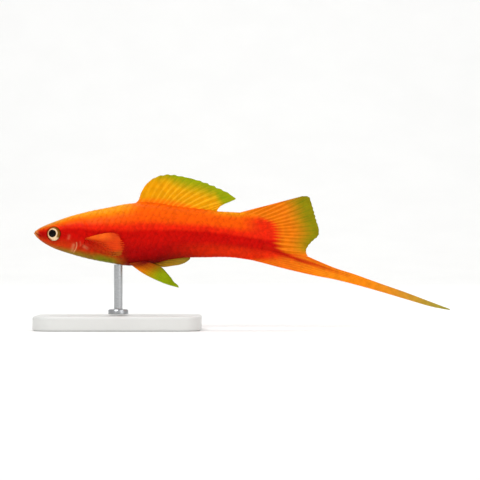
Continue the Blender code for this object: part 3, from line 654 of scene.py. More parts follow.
def tube_faces(rows, columns):
    """Faces of a closed surface whose rows of points run round it, with each end closed by joining a point
    to its mirror point, and the places of their corners on a map of it. Each end has a strip of its own."""
    margin = 0.015
    row, column = (a.ravel() for a in np.mgrid[0:rows - 1, 0:columns])
    corner_row = np.stack((row, row, row + 1, row + 1), axis=-1)
    corner_column = np.stack((column, column + 1, column + 1, column), axis=-1)
    faces = [corner_row * columns + corner_column % columns]
    v = margin + (1 - 2 * margin) * corner_row / (rows - 1)
    maps = [np.stack((corner_column / columns, v), axis=-1)]
    j = np.arange(columns // 2 - 1)
    mirror = columns - 1 - j
    ends = (
        (0, (j + 1, j, mirror, mirror - 1), 0.0), (rows - 1, (j, j + 1, mirror - 1, mirror), 1 - margin / 2)
    )
    for end, corners, base in ends:
        faces.append(end * columns + np.stack(corners, axis=-1))
        across = np.stack((corners[0], corners[1], corners[1], corners[0]), axis=-1) / columns
        rise = base + np.array((0, 0, 1, 1)) * margin / 2 * np.ones((len(j), 1))
        maps.append(np.stack((across, rise), axis=-1))
    return np.concatenate(faces), np.concatenate(maps)


def tube_piece(name, points, marks):
    """A piece from rows of points that run round a closed surface."""
    rows, columns = points.shape[:2]
    flat = points.reshape(-1, 3)
    faces, unwrapped = facing_out(flat, *tube_faces(rows, columns))
    return mesh_piece(name, flat, faces, marks, unwrapped)


def feed(tree, made, links):
    """Sets a node's sockets to values or joins them to other nodes' outputs."""
    for socket, value in links:
        if isinstance(value, bpy.types.NodeSocket):
            tree.links.new(value, made.inputs[socket])
        else:
            made.inputs[socket].default_value = value


def node(tree, kind, links=(), **settings):
    """A shader node with its settings, fed by links."""
    made = tree.nodes.new(kind)
    for name, value in settings.items():
        setattr(made, name, value)
    feed(tree, made, links)
    return made


def mark(tree, name):
    """One of the piece's float attributes."""
    return node(tree, "ShaderNodeAttribute", attribute_name=name).outputs["Fac"]


def object_place(tree):
    return node(tree, "ShaderNodeTexCoord").outputs["Object"]


def maths(tree, operation, first, second=0.0):
    return node(tree, "ShaderNodeMath", ((0, first), (1, second)), operation=operation).outputs[0]


def product(tree, first, *others):
    for other in others:
        first = maths(tree, "MULTIPLY", first, other)
    return first


def ramp(tree, value, low, high, start=0.0, end=1.0):
    """Goes smoothly from start where the value is low to end where it is high."""
    links = ((0, value), (1, low), (2, high), (3, start), (4, end))
    return node(tree, "ShaderNodeMapRange", links, interpolation_type="SMOOTHSTEP").outputs[0]


def mixed(tree, share, first, second, blend="MIX"):
    links = ((0, share), (6, first), (7, second))
    return node(tree, "ShaderNodeMix", links, data_type="RGBA", blend_type=blend).outputs[2]


def multiplied(tree, shade, factor):
    return mixed(tree, 1.0, shade, factor, "MULTIPLY")


def solid(value):
    return (*value, 1.0)


def two_tone(tree, share, value, factor):
    """A colour that goes to the same colour times a factor."""
    return mixed(tree, share, solid(value), solid([factor * part for part in value]))


def noise(tree, scale, detail=3.0, vector=None):
    links = (("Vector", vector or object_place(tree)), ("Scale", scale), ("Detail", detail))
    return node(tree, "ShaderNodeTexNoise", links).outputs[0]


def mottled(tree, scale, detail, low=0.0, high=1.0):
    """Goes softly to and fro between low and high."""
    return ramp(tree, noise(tree, scale, detail), NOISE_LOW, NOISE_HIGH, low, high)


def new_group(name, colours, values, outputs):
    """A shader node group with colour and value inputs; gives its tree and what the inputs bring."""
    tree = bpy.data.node_groups.new(name, "ShaderNodeTree")
    for label in colours:
        tree.interface.new_socket(label, in_out="INPUT", socket_type="NodeSocketColor")
    for label, default in values.items():
        socket = tree.interface.new_socket(label, in_out="INPUT", socket_type="NodeSocketFloat")
        socket.default_value = default
    for label, kind in outputs.items():
        tree.interface.new_socket(label, in_out="OUTPUT", socket_type="NodeSocket" + kind)
    return tree, tree.nodes.new("NodeGroupInput").outputs


def give_out(tree, **outputs):
    """Ends a group."""
    node(tree, "NodeGroupOutput", outputs.items())


def place_group(tree, name, links):
    """Puts a group in a material with its own values."""
    return node(tree, "ShaderNodeGroup", links, node_tree=bpy.data.node_groups[name]).outputs


def pigment_and_highlight_group():
    """Markings of skin and scales, with the painted highlight on the head, by the height on the body and the
    distance from the snout.
    """
    tree, given = new_group("Fish pigment and highlight", PIGMENTS, {}, {"Color": "Color"})
    drift = maths(tree, "MULTIPLY", maths(tree, "SUBTRACT", noise(tree, 260.0), 0.5), 0.07)
    marks = {"along": mark(tree, "along"), "level": maths(tree, "ADD", mark(tree, "level"), drift)}
    shade = given["Belly"]
    for label, *steps in MARKINGS:
        strengths = [ramp(tree, marks[name], *values) for name, *values in steps]
        shade = mixed(tree, product(tree, *strengths), shade, given[label])
    shade = multiplied(tree, shade, ramp(tree, marks["along"], 3.0, 12.0, 0.78, 1.0))
    # painted highlight on the head, partly over the gill cover's own silvery edges
    shade = mixed(tree, mark(tree, "gleam"), shade, given["Gleam"])
    give_out(tree, Color=multiplied(tree, shade, mottled(tree, 900.0, 4.0, 0.88, 1.10)))


def sheen_group():
    """Wet skin: small changes of gloss and fine grain."""
    values = {"Smooth": 0.28, "Rough": 0.42, "Grain": 4000.0}
    tree, given = new_group("Wet sheen", (), values, {"Roughness": "Float", "Height": "Float"})
    patches = noise(tree, 700.0, 4.0)
    links = ((0, patches), (1, NOISE_LOW), (2, NOISE_HIGH), (3, given["Smooth"]), (4, given["Rough"]))
    rough = node(tree, "ShaderNodeMapRange", links).outputs[0]
    links = ((0, object_place(tree)), ("Scale", given["Grain"]))
    place = node(tree, "ShaderNodeVectorMath", links, operation="SCALE").outputs[0]
    give_out(tree, Roughness=rough, Height=noise(tree, 1.0, 2.0, place))


def fin_group():
    """Pigment of a fin, by its reach from root to margin, its rays and its marks for edge, flesh and line."""
    labels = ("Root", "Web", "Ray", "Edge", "Flesh", "Line")
    values = {"Ray strength": 0.6, "Edge rays": 0.1, "Joints": 2600.0}
    tree, given = new_group("Fin pigment", labels, values, {"Color": "Color", "Height": "Float"})
    ray = mark(tree, "ray")
    shade = mixed(tree, ramp(tree, mark(tree, "reach"), 0.0, 0.4), given["Root"], given["Web"])
    shade = mixed(tree, product(tree, ray, given["Ray strength"]), shade, given["Ray"])
    edge = mixed(tree, product(tree, ray, given["Edge rays"]), given["Edge"], given["Ray"])
    for name, over in (("edge", edge), ("flesh", given["Flesh"]), ("line", given["Line"])):
        shade = mixed(tree, mark(tree, name), shade, over)
    span = product(tree, mark(tree, "span"), given["Joints"])
    joints = maths(tree, "POWER", maths(tree, "ABSOLUTE", maths(tree, "SINE", span)), 6.0)
    shade = multiplied(tree, shade, mottled(tree, 600.0, 4.0, 0.90, 1.08))
    give_out(tree, Color=shade, Height=product(tree, joints, ray))


def new_material(name, constants):
    """A material with one shader, whose constants are set on the shader itself."""
    made = bpy.data.materials.new(name)
    made.use_nodes = True
    tree = made.node_tree
    shader = tree.nodes["Principled BSDF"]
    feed(tree, shader, constants.items())
    return made, tree, shader


def bumped(tree, height, strength, distance):
    """Normals of a surface with fine relief, at most as high as distance in millimetres."""
    links = (("Height", height), ("Strength", strength), ("Distance", distance * MM))
    return node(tree, "ShaderNodeBump", links).outputs[0]


def pigment(tree, paint):
    """The fish's markings and the painted highlight on its head, in the panel's colours."""
    links = [(label, solid(getattr(paint, name))) for label, name in PIGMENTS.items()]
    return place_group(tree, "Fish pigment and highlight", links)["Color"]


def wet(tree, smooth, rough):
    return place_group(tree, "Wet sheen", (("Smooth", smooth), ("Rough", rough)))


def skin_material(paint):
    made, tree, shader = new_material("Red skin", SKIN_GLOSS)
    sheen = wet(tree, 0.30, 0.44)
    feed(tree, shader, (
        ("Base Color", pigment(tree, paint)), ("Roughness", sheen["Roughness"]),
        ("Normal", bumped(tree, sheen["Height"], 0.25, 0.03)),
    ))
    return made


def scale_material(paint):
    """The skin's markings, with a paler middle and a darker rim on each scale."""
    made, tree, shader = new_material("Red scales", SKIN_GLOSS)
    rim = mark(tree, "rim")
    shade = multiplied(tree, pigment(tree, paint), ramp(tree, rim, 0.55, 1.0, 1.02, 0.93))
    shade = multiplied(tree, shade, ramp(tree, mark(tree, "tone"), 0.0, 1.0, 0.95, 1.05))
    rings = maths(tree, "SINE", maths(tree, "MULTIPLY", rim, 60.0))
    feed(tree, shader, (
        ("Base Color", shade), ("Roughness", wet(tree, 0.24, 0.38)["Roughness"]),
        ("Normal", bumped(tree, rings, 0.12, 0.02)),
    ))
    return made


def fin_material(name, paint, strength, edge_rays=0.1, clear=False):
    """A fin's own colours, with the body's markings as its flesh where it has none. strength says how much
    the rays stand off the web. A clear fin has a mark that says how much it covers."""
    made, tree, shader = new_material(name, FIN_GLOSS)
    own = zip(("Root", "Web", "Ray", "Edge", "Flesh"), FIN_PAINTS[name])
    links = {label: solid(getattr(paint, colour_name)) for label, colour_name in own}
    if "Flesh" not in links:
        links["Flesh"] = pigment(tree, paint)
    links.update({"Line": solid(paint.sword_line), "Ray strength": strength, "Edge rays": edge_rays})
    fin = place_group(tree, "Fin pigment", links.items())
    feed(tree, shader, (
        ("Base Color", fin["Color"]), ("Roughness", wet(tree, 0.34, 0.50)["Roughness"]),
        ("Normal", bumped(tree, fin["Height"], 0.5, 0.04)),
    ))
    if clear:
        feed(tree, shader, (("Alpha", mark(tree, "cover")),))
    return made


def eye_material(paint):
    """Black pupil, cream iris with fine streaks, an olive sector above and behind, and a tan edge that is
    missing below and behind."""
    made, tree, shader = new_material("Eye", EYE_GLOSS)
    pupil, disc = mark(tree, "pupil"), mark(tree, "disc")
    turn = maths(tree, "MULTIPLY", mark(tree, "turn"), 9.0)
    streaks = noise(tree, 1.0, 2.0, node(tree, "ShaderNodeCombineXYZ", ((0, turn), (1, disc))).outputs[0])
    cream = two_tone(tree, ramp(tree, streaks, 0.35, 0.65), paint.iris, 0.80)
    outer = product(tree, ramp(tree, disc, 0.70, 0.86), ramp(tree, mark(tree, "lower"), 0.35, 0.85, 1.0, 0.0))
    shade = mixed(tree, outer, cream, solid(paint.orbit))
    sector = product(tree, ramp(tree, mark(tree, "upper"), -0.10, 0.40), ramp(tree, pupil, 1.30, 1.48))
    shade = mixed(tree, sector, shade, solid(paint.iris_gold))
    shade = mixed(tree, ramp(tree, disc, 0.90, 1.0), shade, (0.13, 0.03, 0.006, 1.0))
    ring = mixed(tree, ramp(tree, pupil, 1.0, 1.10), solid(paint.iris_gold), shade)
    shade = mixed(tree, ramp(tree, pupil, 0.97, 1.03), (0.003, 0.002, 0.002, 1.0), ring)
    feed(tree, shader, (("Base Color", shade), ("Roughness", ramp(tree, pupil, 0.95, 1.05, 0.05, 0.30))))
    return made


def plate_material(paint):
    made, tree, shader = new_material("Satin white plate", PLATE_GLOSS)
    feed(tree, shader, (
        ("Base Color", two_tone(tree, mottled(tree, 60.0, 4.0), paint.plate, 0.965)),
        ("Roughness", mottled(tree, 900.0, 3.0, 0.38, 0.50)),
        ("Normal", bumped(tree, noise(tree, 5000.0, 2.0), 0.15, 0.02)),
    ))
    return made


def rod_material(paint):
    """Turned steel, with fine marks that run round it."""
    made, tree, shader = new_material("Turned steel", {"Metallic": 1.0})
    links = (("Vector", object_place(tree)), ("Scale", (60.0, 60.0, 9000.0)))
    marks = noise(tree, 1.0, 4.0, node(tree, "ShaderNodeMapping", links).outputs[0])
    feed(tree, shader, (
        ("Base Color", two_tone(tree, ramp(tree, marks, NOISE_LOW, NOISE_HIGH), paint.steel, 0.86)),
        ("Roughness", ramp(tree, marks, NOISE_LOW, NOISE_HIGH, 0.22, 0.36)),
        ("Normal", bumped(tree, marks, 0.12, 0.01)),
    ))
    return made


def skin_grid():
    """x and way of the skin's points: rings from the snout to the gill edge, and on to the tail's end."""
    ways = (np.arange(2 * BODY_WAYS) + 0.5) / BODY_WAYS
    near = 1 - np.abs(1 - ways)
    rings = []
    for ring in range(HEAD_RINGS + 1):
        share = max((ring / HEAD_RINGS) ** 1.5, 1e-4)
        x = share * parting(GILL_EDGE, np.pi * near)
        for _ in range(3):
            x = share * parting(GILL_EDGE, angle_at(x, near))
        rings.append(x)
    for ring in range(TRUNK_RINGS + 1):
        share = ring / TRUNK_RINGS
        t = angle_at(rings[-1], near)
        for _ in range(3):
            x = (parting(GILL_EDGE, t) + GILL_STEP) * (1 - share) + parting(TAIL_END, t) * share
            t = angle_at(x, near)
        rings.append(x)
    return np.array(rings), np.broadcast_to(ways, (len(rings), len(ways)))


def build_skin(sizes, paint):
    x, way = skin_grid()
    points = skin_at(x, way, sizes.eye_radius / MM)
    marks = {"along": points[..., 0], "level": level_of(points), "gleam": gleam_of(points)}
    dress(tube_piece("skin", points, marks), "skin", skin_material(paint), "head", "torso", "tail")


def scale_centres(sizes, side):
    """Front ends of the scales on one side, their tones and how high they stand. Their rows run along the
    body, each a half step on from the last."""
    rows = sizes.scale_rows
    pitch = sizes.scale_pitch / MM
    draw = np.random.default_rng(7 + side)
    starts = []
    for row in range(rows):
        near = (row + 0.5) / rows
        way = near if side > 0 else 2 - near
        x = SCALES_FROM + (row % 2) * pitch / 2
        while x < parting(TAIL_END, angle_at(np.array(x), np.array(near))) - TAIL_SPARE * pitch:
            behind = x - parting(GILL_EDGE, angle_at(np.array(x), np.array(near)))
            crown = near < CROWN_WAY and x > CROWN_FROM
            if behind > -GILL_OVERLAP or (crown and behind < -CROWN_GAP):
                starts.append((x, way, draw.random(), CROWN_LIFT if behind < -GILL_OVERLAP else 1.0))
            x += pitch * (1 - 0.14 * ease(40, 60, x))
    return np.array(starts)


def scale_shape():
    """Places on a scale: how far across it they lie, from -1 to 1, and how far along, and its width there."""
    across, a = np.meshgrid(np.linspace(-1, 1, SCALE_GRID), np.linspace(0, 1, SCALE_GRID))
    rear = SCALE_SHOULDER + (1 - SCALE_SHOULDER) * np.sin((a - 0.3) / 0.7 * np.pi / 2)
    along = np.where(a < 0.3, a / 0.3 * SCALE_SHOULDER, rear)
    sides = 0.72 + 0.28 * np.sqrt(along / SCALE_SHOULDER)
    rounded = np.sqrt(np.clip(1 - ((along - SCALE_SHOULDER) / (1 - SCALE_SHOULDER)) ** 2, 0, 1))
    return across, along, np.maximum(np.where(along < SCALE_SHOULDER, sides, rounded), 0.12)


def scale_mesh(name, points, starts, marks):
    """One mesh of all the scales, each with a small patch of its own on the map."""
    count, rows, columns = points.shape[:3]
    flat = points.reshape(count, -1, 3)
    faces, patch = facing_out(flat[0], *tube_faces(rows, columns))
    faces = (faces[None] + np.arange(count)[:, None, None] * flat.shape[1]).reshape(-1, 4)
    middle = np.stack((starts[:, 1] / 2, starts[:, 0] / LENGTH), axis=-1)
    unwrapped = (middle[:, None, None, :] + (patch[None] - 0.5) * SCALE_PATCH).reshape(-1, 4, 2)
    flat = flat.reshape(-1, 3)
    marks = {"along": flat[:, 0], "level": level_of(flat), "gleam": gleam_of(flat), **marks}
    return mesh_piece(name, flat, faces, marks, unwrapped)


def build_scales(sizes, paint):
    """Overlapping plates with round rear edges, joined into one piece for each side."""
    surface = scale_material(paint)
    across, along, width = scale_shape()
    eye_radius = sizes.eye_radius / MM
    for word, side in SIDES:
        starts = scale_centres(sizes, side)
        x0, way0, tone, lift_share = (starts[:, i][:, None, None] for i in range(4))
        x = x0 + SCALE_LENGTH * sizes.scale_pitch / MM * along
        way = way0 + side * across * width * ROW_OVERLAP / sizes.scale_rows
        ends = parting(TAIL_END, angle_at(x0, np.where(way0 <= 1, way0, 2 - way0)))
        lift = sizes.scale_lift / MM * lift_share * (0.25 + 0.75 * ease(0.5, 7.0, ends - x0))
        arch = SCALE_ARCH * lift * across**2 * (1 - 0.5 * along)
        height = -SCALE_SEAT + (lift + SCALE_SEAT) * along**1.4 - arch
        top = skin_at(x, way, eye_radius, height)
        bottom = skin_at(x, way, eye_radius, height - SCALE_THICKNESS)
        rim = np.broadcast_to(np.maximum(along, np.abs(across) * np.sqrt(along)), x.shape)
        edge = both_faces(rim, rim, axis=2)
        marks = {"rim": edge, "tone": np.broadcast_to(tone, edge.shape)}
        dress(scale_mesh("scales_" + word, both_faces(top, bottom, axis=2), starts, marks), "skin", surface)


def patch_points(front, rear, root, margin, u, v, gather, straight, bow, lead):
    """A surface spread between four edges, at u from front to rear and v from root to margin. The roots are
    gathered to the middle and moved ahead by lead. Away from the sides the lines of equal u soon turn
    straight, and bow bends them."""
    ends = root(u + gather * np.sin(2 * np.pi * u) - lead * np.sin(np.pi * u))
    tips = margin(u)
    span = tips - ends
    across = unit(np.stack((-span[..., 1], span[..., 0]), axis=-1))
    bend = bow * 4 * v * (1 - v) * np.sin(np.pi * u) ** 2
    u, v = u[..., None], v[..., None]
    sheet = (1 - v) * ends + v * tips + bend[..., None] * across
    for edge, weight in ((front, (1 - u) ** straight), (rear, u**straight)):
        sheet = sheet + weight * (edge(v[..., 0]) - (1 - v) * edge(0.0) - v * edge(1.0))
    return sheet


def leaning(u, v, slant):
    """The place among the rays where they lean towards the front edge."""
    return u + slant * v * (1 - u)


def rays_over(u, v, count, splits, seed, whole=()):
    """How much of a ray lies at u and v: 1 on a ray's middle and 0 on the web. Each ray forks at the splits,
    apart from the whole ones."""
    draw = np.random.default_rng(seed)
    place = u * (count - 1)
    width = 0.30 * (1 - 0.5 * v)
    mask = np.zeros_like(u)
    for ray in range(count):
        offsets = [np.zeros_like(v)]
        spread = 0.25
        for split in () if ray in whole else splits:
            start = split + draw.uniform(-0.05, 0.05)
            fork = np.clip((v - start) / (1 - start), 0, 1) ** 0.8 * spread
            offsets = [offset + way * fork for offset in offsets for way in (-1, 1)]
            spread /= 2
        for offset in offsets:
            gap = np.abs(place - ray - offset) / (width * (1.5 if ray in whole else 1.0))
            mask = np.maximum(mask, np.clip(1 - gap**2, 0, 1) ** 1.5)
    return mask


def margin_reach(u, v, spaces, notch, seed):
    """How far out each point of a fin lies, a little less between the rays and unevenly so."""
    valley = 0.5 - 0.5 * np.cos(2 * np.pi * u * spaces)
    wobble = 0.4 * np.sin(7.3 * u * spaces + seed) * notch
    return v * (1 - (notch * valley + wobble) * v**6)


def fin_piece(name, edges, sizes, rays, grid, marks_of, notch, seed, splits=(), whole=(), side=None, base=0.3,
              base_reach=0.12, rise=1.0, taper=0.6, gather=0.0, straight=1, bow=0.0, slant=0.0, lead=0.0):
    """A closed fin: a thin web between four edges, with rays raised on both faces. side gives the sheet's y
    from its x, z, u and v, and marks_of its marks from u, v, x and z, with how far its rays are shown."""
    columns, rows = grid
    u, v = np.meshgrid(np.linspace(0, 1, columns), np.linspace(0, 1, rows))
    ray = rays_over(leaning(u, v, slant), v, rays, splits, seed, whole)
    curves = [through(edge) for edge in edges]
    flat = patch_points(*curves, u, margin_reach(u, v, rays - 1, notch, seed), gather, straight, bow, lead)
    x, z = flat[..., 0], flat[..., 1]
    sheet = np.stack((x, side(x, z, u, v) if side else np.zeros_like(u), z), axis=-1)
    normal = unit(np.cross(np.gradient(sheet, axis=1), np.gradient(sheet, axis=0)))
    half = sizes.membrane / MM / 2 * (1 - 0.5 * v) + base * np.exp(-v / base_reach)
    half = half + sizes.ray_rise / MM * rise * ray * (1 - taper * v)
    half = half * (0.35 + 0.65 * np.sqrt(ease(0, 0.12, np.minimum(u, 1 - u) * (rays - 1))))
    half = half * (0.30 + 0.70 * np.sqrt(1 - ease(0.985, 1.0, v)))
    raised = normal * half[..., None]
    length = np.cumsum(np.linalg.norm(np.diff(sheet, axis=0, prepend=sheet[:1]), axis=-1), axis=0)
    marks = {"reach": v, "span": length * MM, **marks_of(u, v, x, z)}
    marks["ray"] = ray * marks.pop("shown", 1.0)
    marks = {label: both_faces(values, values) for label, values in marks.items()}
    return tube_piece(name, both_faces(sheet + raised, sheet - raised), marks)


def build_dorsal(sizes, paint):
    def marks_of(u, v, x, z):
        return {
            "edge": ease(-3.2, 1.6, z - np.interp(x, *np.array(DORSAL_GREEN).T)),
            "flesh": 0.95 * ease(0.0, 0.14, v) * (1 - ease(0.07 - 0.06 * u, 0.36 - 0.16 * u, v)),
            "shown": 0.35 + 0.65 * ease(0.05, 0.35, u),
            "reach": np.minimum(1.4 * v, 1),
        }

    piece = fin_piece(
        "dorsal", (DORSAL_FRONT, DORSAL_REAR, DORSAL_ROOT, DORSAL_MARGIN), sizes, rays=15, grid=(300, 110),
        marks_of=marks_of, notch=0.016, seed=3, splits=(0.45, 0.75), whole=(0, 1), base=0.45, base_reach=0.07,
        gather=DORSAL_GATHER, straight=5, bow=DORSAL_BOW, lead=DORSAL_LEAD,
    )
    dress(piece, "fin", fin_material("Dorsal fin", paint, 0.75), "dorsal_fin")


def past_line(x, z, line):
    """How far behind a line each point lies, where the line runs from top to bottom."""
    line_x, line_z = np.array(line)[::-1].T
    return x - np.interp(z, line_z, line_x)


def tail_marks(u, x, z):
    """The flesh that runs out over the tail's rays in tongues, with the body's markings carried on, and the
    dark line under it."""
    tongue = 0.55 * np.cos(2 * np.pi * u * 16)
    flesh = 1 - ease(-1.2, 2.0, past_line(x + tongue, z, TAIL_FLESH))
    line = hump(off_curve(x, z, TAIL_LINE), 0.66 - 0.010 * (x - 62))
    line = line * (1 - 0.9 * ease(72.0, 90.0, x)) * ease(59.0, 63.0, x) * (1 - ease(84.0, 90.0, x))
    level = level_of(np.stack((x, 0 * x, z), axis=-1))
    return {"flesh": flesh, "line": line, "along": x, "level": level, "gleam": 0 * x}


def build_fan(sizes, paint):
    def marks_of(u, v, x, z):
        edge = ease(-3.2, 4.2, past_line(x, z, FAN_OLIVE)) * (1 - ease(0.90, 1.0, u))
        return {"edge": edge, **tail_marks(leaning(u, v, FAN_SLANT), x, z)}

    piece = fin_piece(
        "tail_fan", (FAN_TOP, FAN_LOW, FAN_ROOT, FAN_MARGIN), sizes, rays=17, grid=(300, 110),
        marks_of=marks_of, notch=0.006, seed=5, splits=(0.42, 0.70), whole=(0, 1), base_reach=0.16,
        gather=FAN_GATHER, straight=4, slant=FAN_SLANT,
    )
    dress(piece, "fin", fin_material("Tail fan", paint, 0.9), "caudal_fin")


def build_sword(sizes, paint):
    def marks_of(u, v, x, z):
        marks = tail_marks(u, x, z)
        start = 68.0 - 11.0 * u
        end = 96.0 - 12.0 * ease(0.2, 0.6, u)
        marks["flesh"] = 0.55 * (1 - ease(start, start + 6.8, x)) + 0.45 * (1 - ease(68.0, end, x))
        return {"edge": ease(88.0, 118.0, x), **marks}

    tip = (SWORD_UPPER[-1], SWORD_LOWER[-1])
    piece = fin_piece(
        "tail_sword", (SWORD_UPPER, SWORD_LOWER, SWORD_ROOT, tip), sizes, rays=8, grid=(90, 320),
        marks_of=marks_of, notch=0.0, seed=7, base=0.40, base_reach=0.4, rise=0.9, taper=0.85,
    )
    dress(piece, "sword", fin_material("Sword", paint, 0.5), "sword")


def build_pectoral(word, way, sizes, surface):
    """The fin of one flank, spread from it and slightly cupped."""
    root_x, root_z = PECTORAL_ROOT[1]
    seat = float(flank(root_x, root_z)) + PECTORAL_SEAT

    def side(x, z, u, v):
        cup = PECTORAL_CUP * np.sin(np.pi * u) * v
        return way * (seat + PECTORAL_SPLAY * np.maximum(x - root_x, 0) + cup)

    def marks_of(u, v, x, z):
        upper = 1 - ease(0.9 * v - 0.10, 0.9 * v + 0.42, u)
        ray = rays_over(u, v, PECTORAL_RAYS, PECTORAL_FORKS, PECTORAL_SEED, (0,))
        return {
            "edge": ease(0.78, 1.0, u + 0.3 * (v - 0.6)),
            "flesh": 0.95 * (1 - ease(0.15, 0.5, u)) * ease(-0.15, 0.25, v) * (1 - ease(0.5, 0.95, v)),
            "cover": np.clip(0.12 + 0.85 * upper + 0.35 * ray * v, 0, 0.97),
        }

    piece = fin_piece(
        "pectoral_" + word, (PECTORAL_UPPER, PECTORAL_LOWER, PECTORAL_ROOT, PECTORAL_MARGIN), sizes,
        rays=PECTORAL_RAYS, grid=(180, 80), marks_of=marks_of, notch=0.07, seed=PECTORAL_SEED,
        splits=PECTORAL_FORKS, whole=(0,), side=side, base=0.25, base_reach=0.10, rise=0.7, straight=3,
    )
    dress(piece, "fin", surface, "pectoral_fin_" + word)


def build_pelvic(word, way, sizes, surface):
    """The fin under one side of the belly, spread away from the middle."""
    def side(x, z, u, v):
        return way * (PELVIC_OFFSET + PELVIC_SPLAY * np.maximum(PELVIC_SPLAY_FROM - z, 0))

    def marks_of(u, v, x, z):
        root = 0.30 * (1 - ease(0.08, 0.22, v))
        rear = (0.50 + 0.25 * u) * (1 - ease(0.06 + 0.1 * u, 0.16 + 0.85 * u, v))
        return {"edge": ease(0.14, 0.64, v), "flesh": root + rear}

    piece = fin_piece(
        "pelvic_" + word, (PELVIC_FRONT, PELVIC_REAR, PELVIC_ROOT, PELVIC_MARGIN), sizes, rays=6,
        grid=(120, 100), marks_of=marks_of, notch=0.012, seed=13, splits=(0.5,), whole=(0,), side=side,
        base=0.35, rise=0.9,
    )
    dress(piece, "fin", surface, "pelvic_fin_" + word)


def build_paired_fins(sizes, paint):
    """Pectoral fins on the flanks and pelvic fins under the belly, mirrored."""
    pectoral = fin_material("Pectoral fin", paint, 0.15, edge_rays=0.3, clear=True)
    pelvic = fin_material("Pelvic fin", paint, 0.25, edge_rays=0.05)
    for word, way in SIDES:
        build_pectoral(word, way, sizes, pectoral)
        build_pelvic(word, way, sizes, pelvic)


def build_gonopodium(sizes, paint):
    def marks_of(u, v, x, z):
        return {"edge": 0.45 * ease(0.4, 1.0, v), "flesh": 0.9 * (1 - ease(0.0, 0.34, v))}

    tip = (GONOPODIUM_LOWER[-1], GONOPODIUM_UPPER[-1])
    piece = fin_piece(
        "gonopodium_rays", (GONOPODIUM_LOWER, GONOPODIUM_UPPER, GONOPODIUM_ROOT, tip), sizes, rays=6,
        grid=(90, 120), marks_of=marks_of, notch=0.0, seed=17, whole=(0, 1), base_reach=0.5, rise=1.2,
        taper=0.5,
    )
    dress(piece, "fin", fin_material("Gonopodium", paint, 0.55), "gonopodium")


def eye_frame(side):
    """The middle of an eye's rim, and the directions out of the head, backwards and upwards there."""
    x, z = EYE_AT
    reach = 0.05
    slope_x = (float(flank(x + reach, z)) - float(flank(x - reach, z))) / (2 * reach)
    slope_z = (float(flank(x, z + reach)) - float(flank(x, z - reach))) / (2 * reach)
    out = Vector((-slope_x, side, -slope_z)).normalized()
    back = Vector((1, 0, 0)) - out * out.x
    back.normalize()
    up = back.cross(out)
    up = up if up.z > 0 else -up
    centre = Vector((x, side * float(flank(x, z)), z)) - out * (EYE_DOME - EYE_STANDS_OUT)
    return (np.array(vector) for vector in (centre, out, back, up))


def eye_marks(sizes, lie, stand):
    """Marks for pupil, disc and sectors, from how far behind and over the middle each point lies."""
    radius = sizes.eye_radius / MM
    behind, over = lie - PUPIL_AT[0] * radius, stand - PUPIL_AT[1] * radius
    egg = 1 + PUPIL_EGG * np.cos(np.arctan2(over, behind) - PUPIL_EGG_TURN)
    turn = np.arctan2(stand, lie)
    return {
        "pupil": np.hypot(behind, over / PUPIL_TALL) / (sizes.pupil_radius / MM * egg),
        "disc": np.hypot(lie, stand) / radius, "turn": turn,
        "upper": np.cos(turn - 0.7), "lower": np.cos(turn + 0.9),
    }


def build_eyes(sizes, paint):
    """Shallow domes that face square out of the head, with an egg-shaped pupil ahead of the middle."""
    surface = eye_material(paint)
    turns, steps = 96, 40
    angle, share = np.meshgrid(np.arange(turns) * 2 * np.pi / turns, np.linspace(0.0, 1.0, steps))
    lean = share * np.pi / 2
    lie = sizes.eye_radius / MM * np.sin(lean) * np.cos(angle)
    stand = sizes.eye_radius / MM * np.sin(lean) * np.sin(angle)
    height = EYE_DOME * np.cos(lean) ** EYE_DOME_POWER
    for word, side in SIDES:
        centre, out, back, up = eye_frame(side)
        grid = centre + lie[..., None] * back + stand[..., None] * up
        dome = grid + height[..., None] * out
        inner = (grid - EYE_BACK * height[..., None] * out)[::-1][1:]
        marks = eye_marks(sizes, *(np.concatenate((values, values[::-1][1:])) for values in (lie, stand)))
        piece = tube_piece("eye_ball_" + word, np.concatenate((dome, inner)), marks)
        dress(piece, "eye", surface, "eye_" + word)


def smooth_object(name, bm):
    """An object from a finished mesh, smooth apart from its sharp edges."""
    mesh = bpy.data.meshes.new(name)
    bm.to_mesh(mesh)
    bm.free()
    mesh.shade_smooth()
    mesh.set_sharp_from_angle(angle=math.radians(SHARP_ANGLE))
    return add_object(name, mesh)


def round_off(bm, edges, radius, segments):
    bmesh.ops.bevel(bm, geom=edges, offset=radius * MM, segments=segments, affect="EDGES", profile=0.5)


def build_plate(paint):
    """The base at its solid's size, with finer rounding."""
    low, high = (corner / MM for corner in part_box("stand_base"))
    bm = bmesh.new()
    bmesh.ops.create_cube(bm, size=1.0)
    bmesh.ops.scale(bm, verts=bm.verts, vec=(high - low) * MM)
    bmesh.ops.translate(bm, verts=bm.verts, vec=(high + low) / 2 * MM)
    upright = [edge for edge in bm.edges if abs(edge.verts[0].co.z - edge.verts[1].co.z) > MM]
    round_off(bm, upright, PLATE_CORNER, 24)
    level = [edge for edge in bm.edges if len(edge.link_faces) == 2 and edge.calc_face_angle() > 1.2]
    round_off(bm, level, PLATE_BEVEL, 5)
    dress(smooth_object("plate", bm), "stand_base", plate_material(paint), "stand_base")


